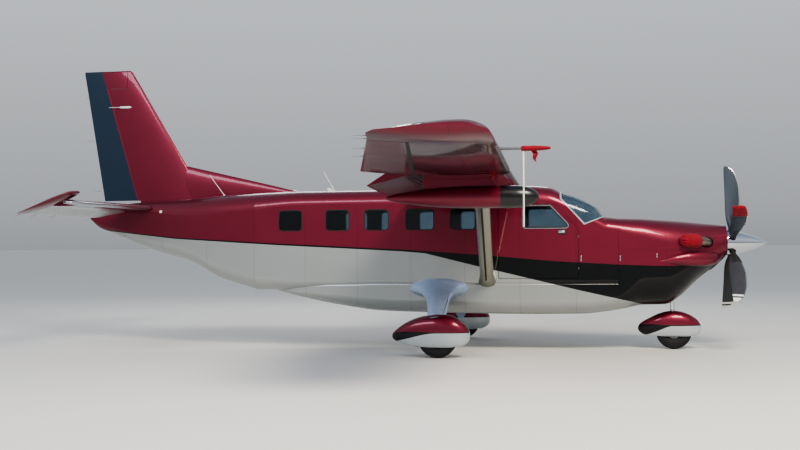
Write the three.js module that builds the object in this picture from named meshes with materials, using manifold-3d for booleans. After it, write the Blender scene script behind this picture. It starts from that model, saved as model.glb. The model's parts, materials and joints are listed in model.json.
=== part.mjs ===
// A single-engine turboprop plane: a high wing on struts, fixed nose-wheel gear and a cargo pod
// under the belly. Millimetres. +X points to the nose, +Y to the left side, +Z up. The origin is on
// the ground below the plane's middle.
import * as THREE from "three";
import { mergeVertices } from "three/addons/utils/BufferGeometryUtils.js";
import Module from "manifold-3d";

const wasm = await Module();
wasm.setup();

// Driving sizes
const NOSE_TIP = 5752;
const HALF_SPAN = 6860;
const CABIN_AFT = -2450;
const FIREWALL = 3420;
const WALL = 40; // cabin walls, roof, floor and doors
const SKIN = 16; // cowl and pod
const TAIL_SKIN = 11; // tail cone, fin and stabilizer
const GAP = 0.3; // between pieces that touch
const CLEAR = 6; // around pieces that move
const BODY_LOW = 968;
const FLOOR_SPLIT = 1130;
const ROOF_SPLIT = 2340;
const COWL_SPLIT = 1590;
const PROP_AXIS = 1695;
const PROP_PLANE = 5205;
const PROP_RADIUS = 1240;
const ROUND = 24; // sides of a wheel
const FLAP_REST = 20; // degrees, trailing edge down
const ELEVATOR_REST = 20; // degrees, trailing edge down
const BEYOND = 900; // half width of the regions that cut right across the body
const WING_HEIGHTS = [1500, 4000]; // heights that hold the wing and the stabilizer

// Finishes: [colour, roughness, metalness]
const FINISH = {
  red: [0x6d0d22, 0.3, 0.2],
  black: [0x0b0c0d, 0.3, 0],
  silver: [0xa9a99f, 0.35, 0.4],
  chrome: [0xd8dadc, 0.08, 1],
  steel: [0x8d9094, 0.4, 1],
  rubber: [0x17181a, 0.85, 0],
  glass: [0x2b3944, 0.05, 0],
  trim: [0x6f6a62, 0.8, 0],
  grey: [0x3b3e41, 0.6, 0.1],
};

// Solids

function toSolid(vertices, triangles) {
  const kept = [];
  for (let i = 0; i < triangles.length; i += 3) {
    const [a, b, c] = [triangles[i], triangles[i + 1], triangles[i + 2]];
    if (a !== b && b !== c && c !== a) kept.push(a, b, c);
  }
  const build = (list) =>
    new wasm.Manifold(
      new wasm.Mesh({
        numProp: 3,
        vertProperties: Float32Array.from(vertices),
        triVerts: Uint32Array.from(list),
      }),
    );
  const made = build(kept);
  return made.volume() < 0 ? build(kept.reverse()) : made;
}

function fromGeometry(geometry) {
  const flat = geometry.index ? geometry.toNonIndexed() : geometry;
  const bare = new THREE.BufferGeometry();
  bare.setAttribute("position", flat.getAttribute("position"));
  const merged = mergeVertices(bare, 1e-3);
  return toSolid(merged.attributes.position.array, merged.index.array);
}

// A loft through rings that have the same number of points. Each end is closed as a ladder between
// the ring's two halves.
function loft(rings) {
  const n = rings[0].length;
  const last = rings.length - 1;
  const list = [];
  const at = (r, i) => r * n + (i % n);
  for (let r = 0; r < last; r++) {
    for (let i = 0; i < n; i++) {
      list.push(at(r, i), at(r, i + 1), at(r + 1, i + 1));
      list.push(at(r, i), at(r + 1, i + 1), at(r + 1, i));
    }
  }
  for (let i = 0, j = n - 1; i + 1 < j; i++, j--) {
    list.push(at(0, i), at(0, j), at(0, i + 1));
    list.push(at(last, i), at(last, i + 1), at(last, j));
    if (i + 1 < j - 1) {
      list.push(at(0, i + 1), at(0, j), at(0, j - 1));
      list.push(at(last, i + 1), at(last, j - 1), at(last, j));
    }
  }
  return toSolid(rings.flat(2), list);
}

function box(x, y, z) {
  const g = new THREE.BoxGeometry(x[1] - x[0], y[1] - y[0], z[1] - z[0]);
  g.translate((x[0] + x[1]) / 2, (y[0] + y[1]) / 2, (z[0] + z[1]) / 2);
  return fromGeometry(g);
}

// A flat outline pushed along an axis: points are [x, z] for "y", [x, y] for "z" and [y, z] for "x".
function prism(axis, points, low, high) {
  const shape = new THREE.Shape(points.map(([a, b]) => new THREE.Vector2(a, b)));
  const g = new THREE.ExtrudeGeometry(shape, { depth: high - low, bevelEnabled: false });
  if (axis === "y") g.rotateX(Math.PI / 2).translate(0, high, 0);
  if (axis === "z") g.translate(0, 0, low);
  if (axis === "x") {
    const turn = new THREE.Matrix4().set(0, 0, 1, low, 1, 0, 0, 0, 0, 1, 0, 0, 0, 0, 0, 1);
    g.applyMatrix4(turn);
  }
  return fromGeometry(g);
}

// A round bar or cone between two points
function rod(from, to, r0, r1 = r0, sides = 16) {
  const a = new THREE.Vector3(...from);
  const b = new THREE.Vector3(...to);
  const g = new THREE.CylinderGeometry(r1, r0, a.distanceTo(b), sides);
  const turn = new THREE.Quaternion().setFromUnitVectors(
    new THREE.Vector3(0, 1, 0),
    b.clone().sub(a).normalize(),
  );
  g.applyQuaternion(turn);
  const middle = a.add(b).multiplyScalar(0.5);
  g.translate(middle.x, middle.y, middle.z);
  return fromGeometry(g);
}

// A turned piece: profile points are [distance along the axis, radius]
function turned(profile, axis, centre, sides = ROUND, phase = Math.PI / sides) {
  const g = new THREE.LatheGeometry(
    profile.map(([along, r]) => new THREE.Vector2(r, along)),
    sides,
  );
  g.rotateY(phase);
  if (axis === "x") g.rotateZ(-Math.PI / 2);
  g.translate(...centre);
  return fromGeometry(g);
}

function remade(solid, place) {
  const mesh = solid.getMesh();
  const v = Float32Array.from(mesh.vertProperties);
  const p = new THREE.Vector3();
  for (let i = 0; i < v.length; i += 3) {
    place(p.fromArray(v, i));
    p.toArray(v, i);
  }
  return toSolid(v, mesh.triVerts);
}
const moved = (solid, x, y, z) => remade(solid, (p) => p.set(p.x + x, p.y + y, p.z + z));
const mirrored = (solid) => remade(solid, (p) => p.setY(-p.y));

// Turned about the line from one point to another, by degrees
function swung(solid, from, to, degrees) {
  const start = new THREE.Vector3(...from);
  const axis = new THREE.Vector3(...to).sub(start).normalize();
  const angle = THREE.MathUtils.degToRad(degrees);
  return remade(solid, (p) => p.sub(start).applyAxisAngle(axis, angle).add(start));
}

const join = (list) => list.reduce((sum, next) => sum.add(next));
const cutAll = (solid, holes) => holes.reduce((left, hole) => left.subtract(hole), solid);
const biggest = (solid) => solid.decompose().reduce((a, b) => (a.volume() > b.volume() ? a : b));

// An outline around a centre: n points [a cos, b sin] given to place, which makes the point
function oval(n, place) {
  const ring = [];
  for (let i = 0; i < n; i++) {
    const angle = (i / n) * 2 * Math.PI;
    ring.push(place(Math.cos(angle), Math.sin(angle)));
  }
  return ring;
}

// The plane

const plane = new THREE.Group();

function add(name, solid, finish) {
  const mesh = solid.getMesh();
  const g = new THREE.BufferGeometry();
  g.setAttribute("position", new THREE.BufferAttribute(mesh.vertProperties, 3));
  g.setIndex(new THREE.BufferAttribute(mesh.triVerts, 1));
  g.computeVertexNormals();
  const [color, roughness, metalness] = FINISH[finish];
  const piece = new THREE.Mesh(
    g,
    new THREE.MeshStandardMaterial({ color, roughness, metalness, flatShading: true }),
  );
  piece.name = name;
  plane.add(piece);
}

// The same piece on both sides, from the solid of the left one
function addPair(name, solid, finish) {
  add(name + "_left", solid, finish);
  add(name + "_right", mirrored(solid), finish);
}

// Body sections: a rounded rectangle at x, with its half width, bottom, top and the corners' width and height
const bodyTable = ([x, half, low, high, topW, topH, lowW, lowH]) => ({
  x, half, low, high, topW, topH, lowW, lowH,
});
const CABIN = [
  [-2450, 700, 965, 2571, 330, 300, 240, 240],
  [-1700, 738, 965, 2588, 300, 250, 180, 180],
  [-800, 745, 968, 2588, 290, 240, 160, 160],
  [2050, 745, 968, 2622, 290, 240, 160, 160],
  [2390, 742, 968, 2589, 290, 240, 160, 160],
  [2510, 738, 968, 2533, 290, 220, 160, 160],
  [2870, 705, 968, 2323, 270, 200, 160, 160],
  [3222, 662, 968, 2118, 250, 190, 160, 160],
  [3420, 640, 968, 2094, 250, 200, 160, 160],
].map(bodyTable);
const TAIL = [
  [-2450.3, 700, 965, 2571, 330, 300, 240, 240],
  [-3180, 590, 1170, 2541, 320, 320, 280, 260],
  [-3640, 500, 1400, 2504, 300, 300, 280, 260],
  [-4500, 270, 1646, 2462, 200, 220, 180, 200],
  [-4900, 190, 1800, 2440, 150, 180, 140, 170],
  [-5290, 110, 1954, 2370, 90, 120, 80, 110],
  [-5480, 70, 2030, 2310, 60, 90, 60, 80],
  [-5640, 25, 2165, 2230, 22, 28, 22, 28],
].map(bodyTable);
const COWL = [
  [3420.3, 640, 652, 2094, 250, 200, 380, 420],
  [3775, 628, 714, 2083, 290, 280, 400, 450],
  [4160, 590, 727, 2060, 360, 360, 400, 460],
  [4400, 540, 860, 2044, 380, 380, 390, 430],
  [4680, 455, 1115, 2018, 370, 370, 370, 400],
  [4920, 345, 1300, 1993, 320, 320, 320, 310],
  [5110, 275, 1420, 1970, 273, 273, 273, 273],
].map(bodyTable);
const POD = [
  [-2080, 560, 938, 1030, 60, 40, 120, 40],
  [-1750, 660, 859, 1060, 60, 60, 200, 90],
  [-1310, 718, 764, 1080, 60, 60, 250, 160],
  [-880, 742, 692, 1085, 60, 60, 260, 200],
  [-410, 750, 630, 1085, 40, 40, 260, 220],
  [570, 750, 598, 1085, 40, 40, 260, 220],
  [2030, 750, 580, 1085, 40, 40, 260, 220],
  [2870, 714, 588, 1085, 40, 40, 260, 220],
  [3222, 672, 622, 1085, 40, 40, 260, 220],
  [3420, 650, 652, 1085, 40, 40, 260, 220],
].map(bodyTable);

const CORNER_STEPS = 4;
function bodyRing(s, inset = 0, x = s.x) {
  const ring = [];
  const corners = [
    [1, 1, s.topW, s.topH, 0],
    [-1, 1, s.topW, s.topH, 1],
    [-1, -1, s.lowW, s.lowH, 2],
    [1, -1, s.lowW, s.lowH, 3],
  ];
  for (const [side, up, wide, tall, quarter] of corners) {
    const rw = Math.max(wide - inset, 2);
    const rh = Math.max(tall - inset, 2);
    const cy = side * (s.half - inset - rw);
    const cz = up > 0 ? s.high - inset - rh : s.low + inset + rh;
    for (let i = 0; i <= CORNER_STEPS; i++) {
      const a = (quarter + i / CORNER_STEPS) * (Math.PI / 2);
      ring.push([x, cy + rw * Math.cos(a), cz + rh * Math.sin(a)]);
    }
  }
  return ring;
}
const body = (table, inset = 0) => loft(table.map((s) => bodyRing(s, inset)));

// The space inside a wall of a given thickness, run on past both ends so that cutting it away leaves them open
const PAST_END = 30;
function hollow(table, thick) {
  const past = (end, next) => bodyRing(end, thick, end.x + Math.sign(end.x - next.x) * PAST_END);
  return loft([
    past(table[0], table[1]),
    ...table.map((s) => bodyRing(s, thick)),
    past(table.at(-1), table.at(-2)),
  ]);
}

const cabinSolid = body(CABIN);
const tailSolid = body(TAIL);
const podSolid = body(POD);
const cabinGrown = body(CABIN, -GAP);
const tailGrown = body(TAIL, -GAP);
const cabinShell = cabinSolid.subtract(hollow(CABIN, WALL));

// Wing sections: span, leading and trailing edge, height of the chord line, thickness ratio and
// droop of the leading edge
const wingTable = ([y, front, back, z, thick, droop]) => ({ y, front, back, z, thick, droop });
const WING_CUFF_AT = 4100;
const WING_IN = [
  [0, 1920, 30, 2555, 0.155, 0],
  [720, 1920, 30, 2555, 0.155, 0],
  [WING_CUFF_AT, 1920, 50, 2702, 0.15, 0],
].map(wingTable);
const WING_OUT = [
  [WING_CUFF_AT - 1, 1990, 50, 2702, 0.15, 100],
  [6600, 1990, 640, 2858, 0.145, 70],
  [6800, 1960, 665, 2890, 0.12, 50],
  [HALF_SPAN, 1850, 760, 2915, 0.05, 20],
].map(wingTable);
const STABILIZER = [
  [0, -4400, -5370, 2350, 0.11, 0],
  [2900, -4425, -5370, 2352, 0.1, 0],
  [3060, -4460, -5365, 2352, 0.08, 0],
  [3110, -4560, -5340, 2352, 0.04, 0],
].map(wingTable);
const CAMBER = 0.01;
const INCIDENCE = 0.03;
const CHORD_STEPS = 9;

function sectionAt(table, y) {
  const k = Math.max(1, table.findIndex((s) => s.y >= y));
  const [a, b] = [table[k - 1], table[k]];
  const t = (y - a.y) / (b.y - a.y);
  return Object.fromEntries(Object.keys(a).map((key) => [key, a[key] + (b[key] - a[key]) * t]));
}

// Height of a section's middle line and half its thickness, at a share u of the chord from the front.
// The thickness is that of a four-digit wing section.
const DROOP_SHARE = 0.22;
const EDGE = 1.5; // half thickness that the trailing edge keeps
function foilAt(s, u, curved) {
  const chord = s.front - s.back;
  const shape = 0.2969 * Math.sqrt(u) - 0.126 * u - 0.3516 * u ** 2 + 0.2843 * u ** 3 - 0.1015 * u ** 4;
  const camber = curved ? 4 * CAMBER * u * (1 - u) + (0.5 - u) * INCIDENCE : 0;
  const droop = s.droop * Math.max(0, 1 - u / DROOP_SHARE) ** 2;
  return { middle: s.z + camber * chord - droop, half: 5 * s.thick * shape * chord + EDGE };
}

function foilRing(s, curved) {
  const upper = [];
  const lower = [];
  for (let i = 0; i <= CHORD_STEPS; i++) {
    const u = (1 - Math.cos((Math.PI * i) / CHORD_STEPS)) / 2;
    const { middle, half } = foilAt(s, u, curved);
    const x = s.front - u * (s.front - s.back);
    if (i > 0) upper.unshift([x, s.y, middle + half]);
    if (i > 0) lower.push([x, s.y, middle - half]);
  }
  const nose = foilAt(s, 0, curved);
  return [...upper, [s.front, s.y, nose.middle], ...lower];
}
const foil = (table, curved) => loft(table.map((s) => foilRing(s, curved)));

// The hollow inside a section's skin, between two shares of the chord
const CORE_STEPS = 4;
function coreRing(s, skin, from, to) {
  const upper = [];
  const lower = [];
  for (let i = 0; i <= CORE_STEPS; i++) {
    const u = from + (to - from) * (i / CORE_STEPS) ** 1.5;
    const { middle, half } = foilAt(s, u, false);
    const x = s.front - u * (s.front - s.back);
    upper.unshift([x, s.y, middle + half - skin]);
    lower.push([x, s.y, middle - half + skin]);
  }
  return [...upper, ...lower];
}

// A control surface's hinge: the line through the section's middle at x0 and x1, with the half
// thickness as its barrel
function hingeLine(table, y0, x0, y1, x1, curved) {
  return [[y0, x0], [y1, x1]].map(([y, x]) => {
    const s = sectionAt(table, y);
    const { middle, half } = foilAt(s, (s.front - x) / (s.front - s.back), curved);
    return { point: [x, y, middle], half };
  });
}

// The space of a control surface behind its hinge, grown on all sides but the back
const BARREL_SIDES = 14;
function surfaceSpace([a, b], plan, grow) {
  const barrel = rod(a.point, b.point, a.half + grow, b.half + grow, BARREL_SIDES);
  return prism("z", plan, ...WING_HEIGHTS).add(barrel);
}

const along = (line, t) => ({
  point: line[0].point.map((c, k) => c + (line[1].point[k] - c) * t),
  half: line[0].half + (line[1].half - line[0].half) * t,
});

// Hinge brackets at some shares of a hinge line: lugs that the fixed piece carries, and the notches
// for them in the moving piece, which stay clear as it turns
const LUG = { radius: 12, half: 12, seat: 14 };
function brackets(line, shares, ahead) {
  const axis = new THREE.Vector3(...line[1].point).sub(new THREE.Vector3(...line[0].point)).normalize();
  const forward = new THREE.Vector3(...ahead);
  forward.addScaledVector(axis, -forward.dot(axis)).normalize();
  const up = axis.clone().cross(forward);
  const made = shares.map((share) => {
    const { point, half } = along(line, share);
    const place = new THREE.Matrix4().makeBasis(axis, forward, up).setPosition(...point);
    const block = (halfWidth, back, front, halfHeight) => {
      const g = new THREE.BoxGeometry(2 * halfWidth, back + front, 2 * halfHeight);
      return fromGeometry(g.translate(0, (front - back) / 2, 0).applyMatrix4(place));
    };
    return {
      lug: block(LUG.half, LUG.radius, half + CLEAR + LUG.seat, LUG.radius - 3),
      notch: block(LUG.half + GAP, LUG.radius + CLEAR + 2, half + LUG.seat, half + LUG.seat),
    };
  });
  return { lugs: join(made.map((m) => m.lug)), notches: join(made.map((m) => m.notch)) };
}
const AHEAD = [1, 0, 0];

// Wing
const inner = foil(WING_IN, true);
const outer = foil(WING_OUT, true);
const FLAP = { inner: 785, outer: 3895, hinge: 610, clear: 11 };
const AILERON = { inner: 3985, outer: 6490, hingeCuff: 737, hingeOut: 1050, clear: 17 };
const WING_ROOT = 720;
const flapLine = hingeLine(WING_IN, FLAP.inner, FLAP.hinge, FLAP.outer, FLAP.hinge, true);
const { hingeCuff, hingeOut, outer: aileronEnd } = AILERON;
const aileronLine = hingeLine(WING_OUT, WING_CUFF_AT, hingeCuff, aileronEnd, hingeOut, true);
// The aileron's hinge line runs on inwards, past the wing's cuff, to the aileron's inner end
const [aileronIn, aileronOut] = aileronLine.map(({ point }) => point[1]);
aileronLine[0] = along(aileronLine, (AILERON.inner - aileronIn) / (aileronOut - aileronIn));

// A strip of the plan behind the hinge line, from a little outside the ends
function behindLine([a, b], more, back = -400) {
  const slope = (b.point[0] - a.point[0]) / (b.point[1] - a.point[1]);
  const y0 = a.point[1] - more;
  const y1 = b.point[1] + more;
  return [
    [a.point[0] - slope * more, y0],
    [b.point[0] + slope * more, y1],
    [back, y1],
    [back, y0],
  ];
}
function longer([a, b], more) {
  const length = Math.hypot(...a.point.map((c, k) => b.point[k] - c));
  return [along([a, b], -more / length), along([a, b], 1 + more / length)];
}
const wingBlank = inner.add(outer);
const WING_CHORD = [-500, 2500];
const besideBody = box(WING_CHORD, [WING_ROOT + GAP, HALF_SPAN + CLEAR], WING_HEIGHTS);
const flapCut = surfaceSpace(longer(flapLine, FLAP.clear), behindLine(flapLine, FLAP.clear), FLAP.clear);
const aileronEnds = AILERON.clear; // its hinge line is swept, so its ends move sideways as it turns
const aileronCut = surfaceSpace(longer(aileronLine, aileronEnds), behindLine(aileronLine, aileronEnds), CLEAR);
const flapBrackets = brackets(flapLine, [0.15, 0.85], AHEAD);
const aileronBrackets = brackets(aileronLine, [0.15, 0.85], AHEAD);
const wing = cutAll(wingBlank.intersect(besideBody), [cabinGrown, flapCut, aileronCut])
  .add(flapBrackets.lugs)
  .add(aileronBrackets.lugs);
const flap = wingBlank
  .intersect(surfaceSpace(flapLine, behindLine(flapLine, 0), 0))
  .subtract(flapBrackets.notches);
const aileron = wingBlank
  .intersect(surfaceSpace(aileronLine, behindLine(aileronLine, 0), 0))
  .subtract(aileronBrackets.notches);
addPair("wing", wing, "red");
addPair("flap", swung(flap, flapLine[1].point, flapLine[0].point, FLAP_REST), "red");
addPair("aileron", aileron, "red");

// Struts from the lower side of the body to the wing
const STRUT = { low: [1380, 640, 1025], high: [1530, 3290, 2680], half: [108, 55], sides: 14 };
const strutRings = [STRUT.low, STRUT.high].map(([x, y, z]) =>
  oval(STRUT.sides, (c, s) => [x + STRUT.half[0] * c, y, z + STRUT.half[1] * s]),
);
const strut = loft(strutRings)
  .subtract(moved(cabinSolid, 0, GAP, 0))
  .subtract(moved(podSolid, 0, GAP, 0))
  .subtract(moved(wingBlank, 0, 0, -GAP));
addPair("strut", strut, "silver");

// Radar pod under the right wing
const RADAR = { y: -3500, z: 2325, radius: 150, joint: 1820, front: 2320, back: 250, sides: 20 };
const radarBody = turned(
  [
    [RADAR.back, 0],
    [RADAR.back + 60, 30],
    [RADAR.back + 400, 92],
    [RADAR.back + 850, 138],
    [RADAR.joint - 350, RADAR.radius],
    [RADAR.joint - GAP, RADAR.radius],
    [RADAR.joint - GAP, 0],
  ],
  "x",
  [0, RADAR.y, RADAR.z],
  RADAR.sides,
);
const PYLON = { half: 28, top: 330 };
const pylon = prism(
  "y",
  [[820, RADAR.z], [1750, RADAR.z], [1800, RADAR.z + PYLON.top], [760, RADAR.z + PYLON.top]],
  RADAR.y - PYLON.half,
  RADAR.y + PYLON.half,
).subtract(mirrored(moved(wingBlank, 0, 0, -GAP)));
add("radar_pod", radarBody.add(biggest(pylon)), "red");

const RADOME_STEPS = 6;
const domeFrom = RADAR.joint + 180;
const radomeProfile = [[RADAR.joint, 0], [RADAR.joint, RADAR.radius]];
for (let i = 0; i < RADOME_STEPS; i++) {
  const a = (i / RADOME_STEPS) * (Math.PI / 2);
  radomeProfile.push([domeFrom + (RADAR.front - domeFrom) * Math.sin(a), RADAR.radius * Math.cos(a)]);
}
radomeProfile.push([RADAR.front, 0]);
add("radome", turned(radomeProfile, "x", [0, RADAR.y, RADAR.z], RADAR.sides), "black");

// Windshield, in the slope between these points [x, z] of the side view
const SHIELD = { corner: [2900, 1990], base: [3222, 2118], side: [2530, 2400], top: [2515, 2700] };
const shieldRegion = prism(
  "y",
  [
    [SHIELD.corner[0] + GAP, SHIELD.corner[1] + GAP],
    [SHIELD.base[0] + GAP, SHIELD.base[1] + GAP],
    [FIREWALL, SHIELD.base[1] + GAP],
    [FIREWALL, SHIELD.top[1]],
    [SHIELD.top[0] + GAP, SHIELD.top[1]],
    [SHIELD.side[0] + GAP, SHIELD.side[1] + GAP],
  ],
  -BEYOND,
  BEYOND,
);
const PANE = 12;
const PANE_DEPTH = 6; // side windows lie this far below the skin
const glassShell = (depth) => body(CABIN, depth).subtract(hollow(CABIN, depth + PANE));
add("windshield", glassShell(0).intersect(shieldRegion), "glass");

// Floor tray with the firewall and the deck in front of the windshield
const floorRegion = box([CABIN_AFT, FIREWALL], [-BEYOND, BEYOND], [BODY_LOW - WALL, FLOOR_SPLIT]);
const DECK_TOP = 2300; // over the highest point of the deck
const deckRegion = prism(
  "y",
  [
    [SHIELD.corner[0] + 1, SHIELD.corner[1] + GAP],
    [FIREWALL, SHIELD.corner[1] + GAP],
    [FIREWALL, DECK_TOP],
    [SHIELD.base[0], DECK_TOP],
    [SHIELD.base[0], SHIELD.base[1] - GAP],
  ],
  -BEYOND,
  BEYOND,
);
// The firewall lies inside the walls, and its middle strip runs on into the floor and the deck
const FIREWALL_THICK = 30;
const FIREWALL_STRIP = 500;
const firewallX = [FIREWALL - FIREWALL_THICK, FIREWALL];
const firewallPart = (half, depth) =>
  box(firewallX, [-half, half], [BODY_LOW, DECK_TOP]).intersect(body(CABIN, depth));
// A flat plate behind the last seats, raised over the floor, takes the baggage
const BAGGAGE_PLATE = { x: [-2410, -2110], half: 420, top: BODY_LOW + WALL + 6, thick: 16 };
const { x: plateX, half: plateHalf, top: plateTop } = BAGGAGE_PLATE;
const cabinLower = join([
  cabinShell.intersect(floorRegion),
  cabinShell.intersect(deckRegion),
  firewallPart(BEYOND, WALL + GAP),
  firewallPart(FIREWALL_STRIP, WALL / 2),
  box(plateX, [-plateHalf, plateHalf], [plateTop - BAGGAGE_PLATE.thick, plateTop]),
]);
add("cabin_lower", cabinLower, "silver");

// Doors and windows in the side view, [x, z]
const CREW_DOOR = [[1560, 1150], [2810, 1150], [2810, 1930], [2452, 2320], [1560, 2320]];
const CREW_WINDOW = [[1960, 1950], [2690, 1950], [2375, 2290], [1960, 2290]];
const CARGO_DOOR = { back: -1370, front: -120, low: 1150, split: 1740, high: 2320 };
const WINDOWS = [[-2020, -1630], [-1230, -840], [-590, -195], [84, 539], [804, 1200]];
const SILL = 1930;
const HEAD = 2262;

// An outline moved inwards by d, for outlines that turn the same way at each corner
function inset(points, d) {
  const n = points.length;
  const area = points.reduce((sum, p, i) => {
    const q = points[(i + 1) % n];
    return sum + p[0] * q[1] - q[0] * p[1];
  }, 0);
  const sign = Math.sign(area);
  return points.map((p, i) => {
    const a = points[(i + n - 1) % n];
    const b = points[(i + 1) % n];
    const u = new THREE.Vector2(p[0] - a[0], p[1] - a[1]).normalize();
    const v = new THREE.Vector2(b[0] - p[0], b[1] - p[1]).normalize();
    const nu = new THREE.Vector2(-u.y, u.x).multiplyScalar(sign * d);
    const nv = new THREE.Vector2(-v.y, v.x).multiplyScalar(sign * d);
    const k = u.cross(v) || 1;
    const t = (nv.x - nu.x) * v.y - (nv.y - nu.y) * v.x;
    return [p[0] + nu.x + (u.x * t) / k, p[1] + nu.y + (u.y * t) / k];
  });
}
// An outline with each corner rounded by arcs of a few steps
function rounded(points, r, steps = 3) {
  const n = points.length;
  return points.flatMap((p, i) => {
    const a = new THREE.Vector2(...points[(i + n - 1) % n]);
    const b = new THREE.Vector2(...points[(i + 1) % n]);
    const c = new THREE.Vector2(...p);
    const u = a.sub(c).normalize();
    const v = b.sub(c).normalize();
    const reach = r / Math.tan(Math.acos(u.dot(v)) / 2);
    const start = c.clone().addScaledVector(u, reach);
    const end = c.clone().addScaledVector(v, reach);
    const arc = [];
    for (let k = 0; k <= steps; k++) {
      const t = k / steps;
      arc.push([
        (1 - t) ** 2 * start.x + 2 * t * (1 - t) * c.x + t ** 2 * end.x,
        (1 - t) ** 2 * start.y + 2 * t * (1 - t) * c.y + t ** 2 * end.y,
      ]);
    }
    return arc;
  });
}
const rectangle = (x0, x1, z0, z1) => [[x0, z0], [x1, z0], [x1, z1], [x0, z1]];
const SIDE_FROM = 300; // cuts in the left side start here, well inside the wall
const through = (points) => prism("y", points, SIDE_FROM, BEYOND);
const windowOutline = ([x0, x1]) => rounded(rectangle(x0, x1, SILL, HEAD), 70);

// Side walls, for the left side first
const wallRegion = prism(
  "y",
  [
    [CABIN_AFT, FLOOR_SPLIT + GAP],
    [FIREWALL, FLOOR_SPLIT + GAP],
    [FIREWALL, SHIELD.corner[1]],
    SHIELD.corner,
    [2584, ROOF_SPLIT],
    [CABIN_AFT, ROOF_SPLIT],
  ],
  0,
  BEYOND,
);
const wallBlank = cabinShell.intersect(wallRegion);
const crewHole = through(CREW_DOOR);
const cargoHole = through(rectangle(CARGO_DOOR.back, CARGO_DOOR.front, CARGO_DOOR.low, CARGO_DOOR.high));
const windowHoles = (list) => list.map((w) => through(windowOutline(w)));

// Hinge lugs on the edges of the door openings, and the room for them in the doors
const CREW_HINGE = { x: 2810, y: 711, heights: [1310, 1810] };
const CARGO_HINGE = { y: 745, places: [CARGO_DOOR.back + 125, CARGO_DOOR.front - 125] };
const DOOR_LUG = { half: 20, radius: 12, sides: 8 };
const pin = (middle, axis, grow, more) => {
  const end = (side) => middle.map((c, k) => c + (k === axis ? side * (DOOR_LUG.half + more) : 0));
  return rod(end(-1), end(1), DOOR_LUG.radius + grow, DOOR_LUG.radius + grow, DOOR_LUG.sides);
};
const crewPins = (grow, more) =>
  join(CREW_HINGE.heights.map((z) => pin([CREW_HINGE.x, CREW_HINGE.y, z], 2, grow, more)));
const cargoPins = (z, grow, more) =>
  join(CARGO_HINGE.places.map((x) => pin([x, CARGO_HINGE.y, z], 0, grow, more)));

const leftHoles = [crewHole, cargoHole, ...windowHoles([WINDOWS[0], WINDOWS[3], WINDOWS[4]])];
const wallLeft = cutAll(wallBlank, leftHoles);
const wallRight = cutAll(wallBlank, [crewHole, ...windowHoles(WINDOWS)]);
const leftPins = [crewPins(0, 0), cargoPins(CARGO_DOOR.high, 0, 0), cargoPins(CARGO_DOOR.low, 0, 0)];
add("side_wall_left", join([biggest(wallLeft), ...leftPins]), "red");
add("side_wall_right", mirrored(biggest(wallRight).add(crewPins(0, 0))), "red");

// Panes, held by one strip behind the wall
const STRIP = { thick: 6, low: 1890, high: 1915, past: 10 };
const TAB = { half: 60, low: SILL + 3, high: SILL + 14 };
function panes(list) {
  const inside = hollow(CABIN, WALL + GAP + STRIP.thick);
  const strip = body(CABIN, WALL + GAP).subtract(inside);
  const ends = [Math.min(...list.flat()) - STRIP.past, Math.max(...list.flat()) + STRIP.past];
  const held = list.map((w) => {
    const pane = glassShell(PANE_DEPTH).intersect(through(inset(windowOutline(w), GAP)));
    const sides = [-1, 1].map((side) => (w[0] + w[1]) / 2 + side * TAB.half);
    const tab = body(CABIN, PANE_DEPTH)
      .subtract(inside)
      .intersect(through(rectangle(...sides, TAB.low, TAB.high)));
    const foot = strip.intersect(through(rectangle(...sides, STRIP.low, TAB.high)));
    return pane.add(tab).add(foot);
  });
  return join([strip.intersect(through(rectangle(...ends, STRIP.low, STRIP.high))), ...held]);
}
add("glazing_right", mirrored(panes(WINDOWS.slice(0, 5))), "glass");
add("glazing_left_front", panes(WINDOWS.slice(3)), "glass");
const rearPane = through(inset(windowOutline(WINDOWS[0]), GAP));
add("glazing_left_rear", glassShell(PANE_DEPTH).intersect(rearPane), "glass");

// Crew doors, hinged at the front edge
const crewPanel = cabinShell.intersect(through(inset(CREW_DOOR, CLEAR)));
const crewPane = rounded(CREW_WINDOW, 45);
addPair("crew_door", cutAll(crewPanel, [through(crewPane), crewPins(CLEAR, GAP)]), "red");
addPair("crew_door_glass", glassShell(PANE_DEPTH).intersect(through(inset(crewPane, GAP))), "glass");

// Cargo door on the left: the upper half lifts, the lower half folds down with steps
const upperOutline = rectangle(CARGO_DOOR.back, CARGO_DOOR.front, CARGO_DOOR.split, CARGO_DOOR.high);
const lowerOutline = rectangle(CARGO_DOOR.back, CARGO_DOOR.front, CARGO_DOOR.low, CARGO_DOOR.split);
const cargoUpper = cutAll(cabinShell.intersect(through(inset(upperOutline, CLEAR))), [
  ...windowHoles(WINDOWS.slice(1, 3)),
  cargoPins(CARGO_DOOR.high, CLEAR, GAP),
]);
add("cargo_door_upper", cargoUpper, "red");
const STEP = { heights: [1320, 1540], thick: 24, deep: 90, fromSide: 380 };
const doorInside = CARGO_HINGE.y - WALL;
const steps = STEP.heights.map((z) =>
  box(
    [CARGO_DOOR.back + STEP.fromSide, CARGO_DOOR.front - STEP.fromSide],
    [doorInside - STEP.deep, doorInside + WALL / 4],
    [z, z + STEP.thick],
  ),
);
const cargoLower = cabinShell
  .intersect(through(inset(lowerOutline, CLEAR)))
  .subtract(cargoPins(CARGO_DOOR.low, CLEAR, GAP));
add("cargo_door_lower", join([cargoLower, ...steps]), "red");
add("cargo_door_glass", panes(WINDOWS.slice(1, 3)), "glass");

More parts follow.
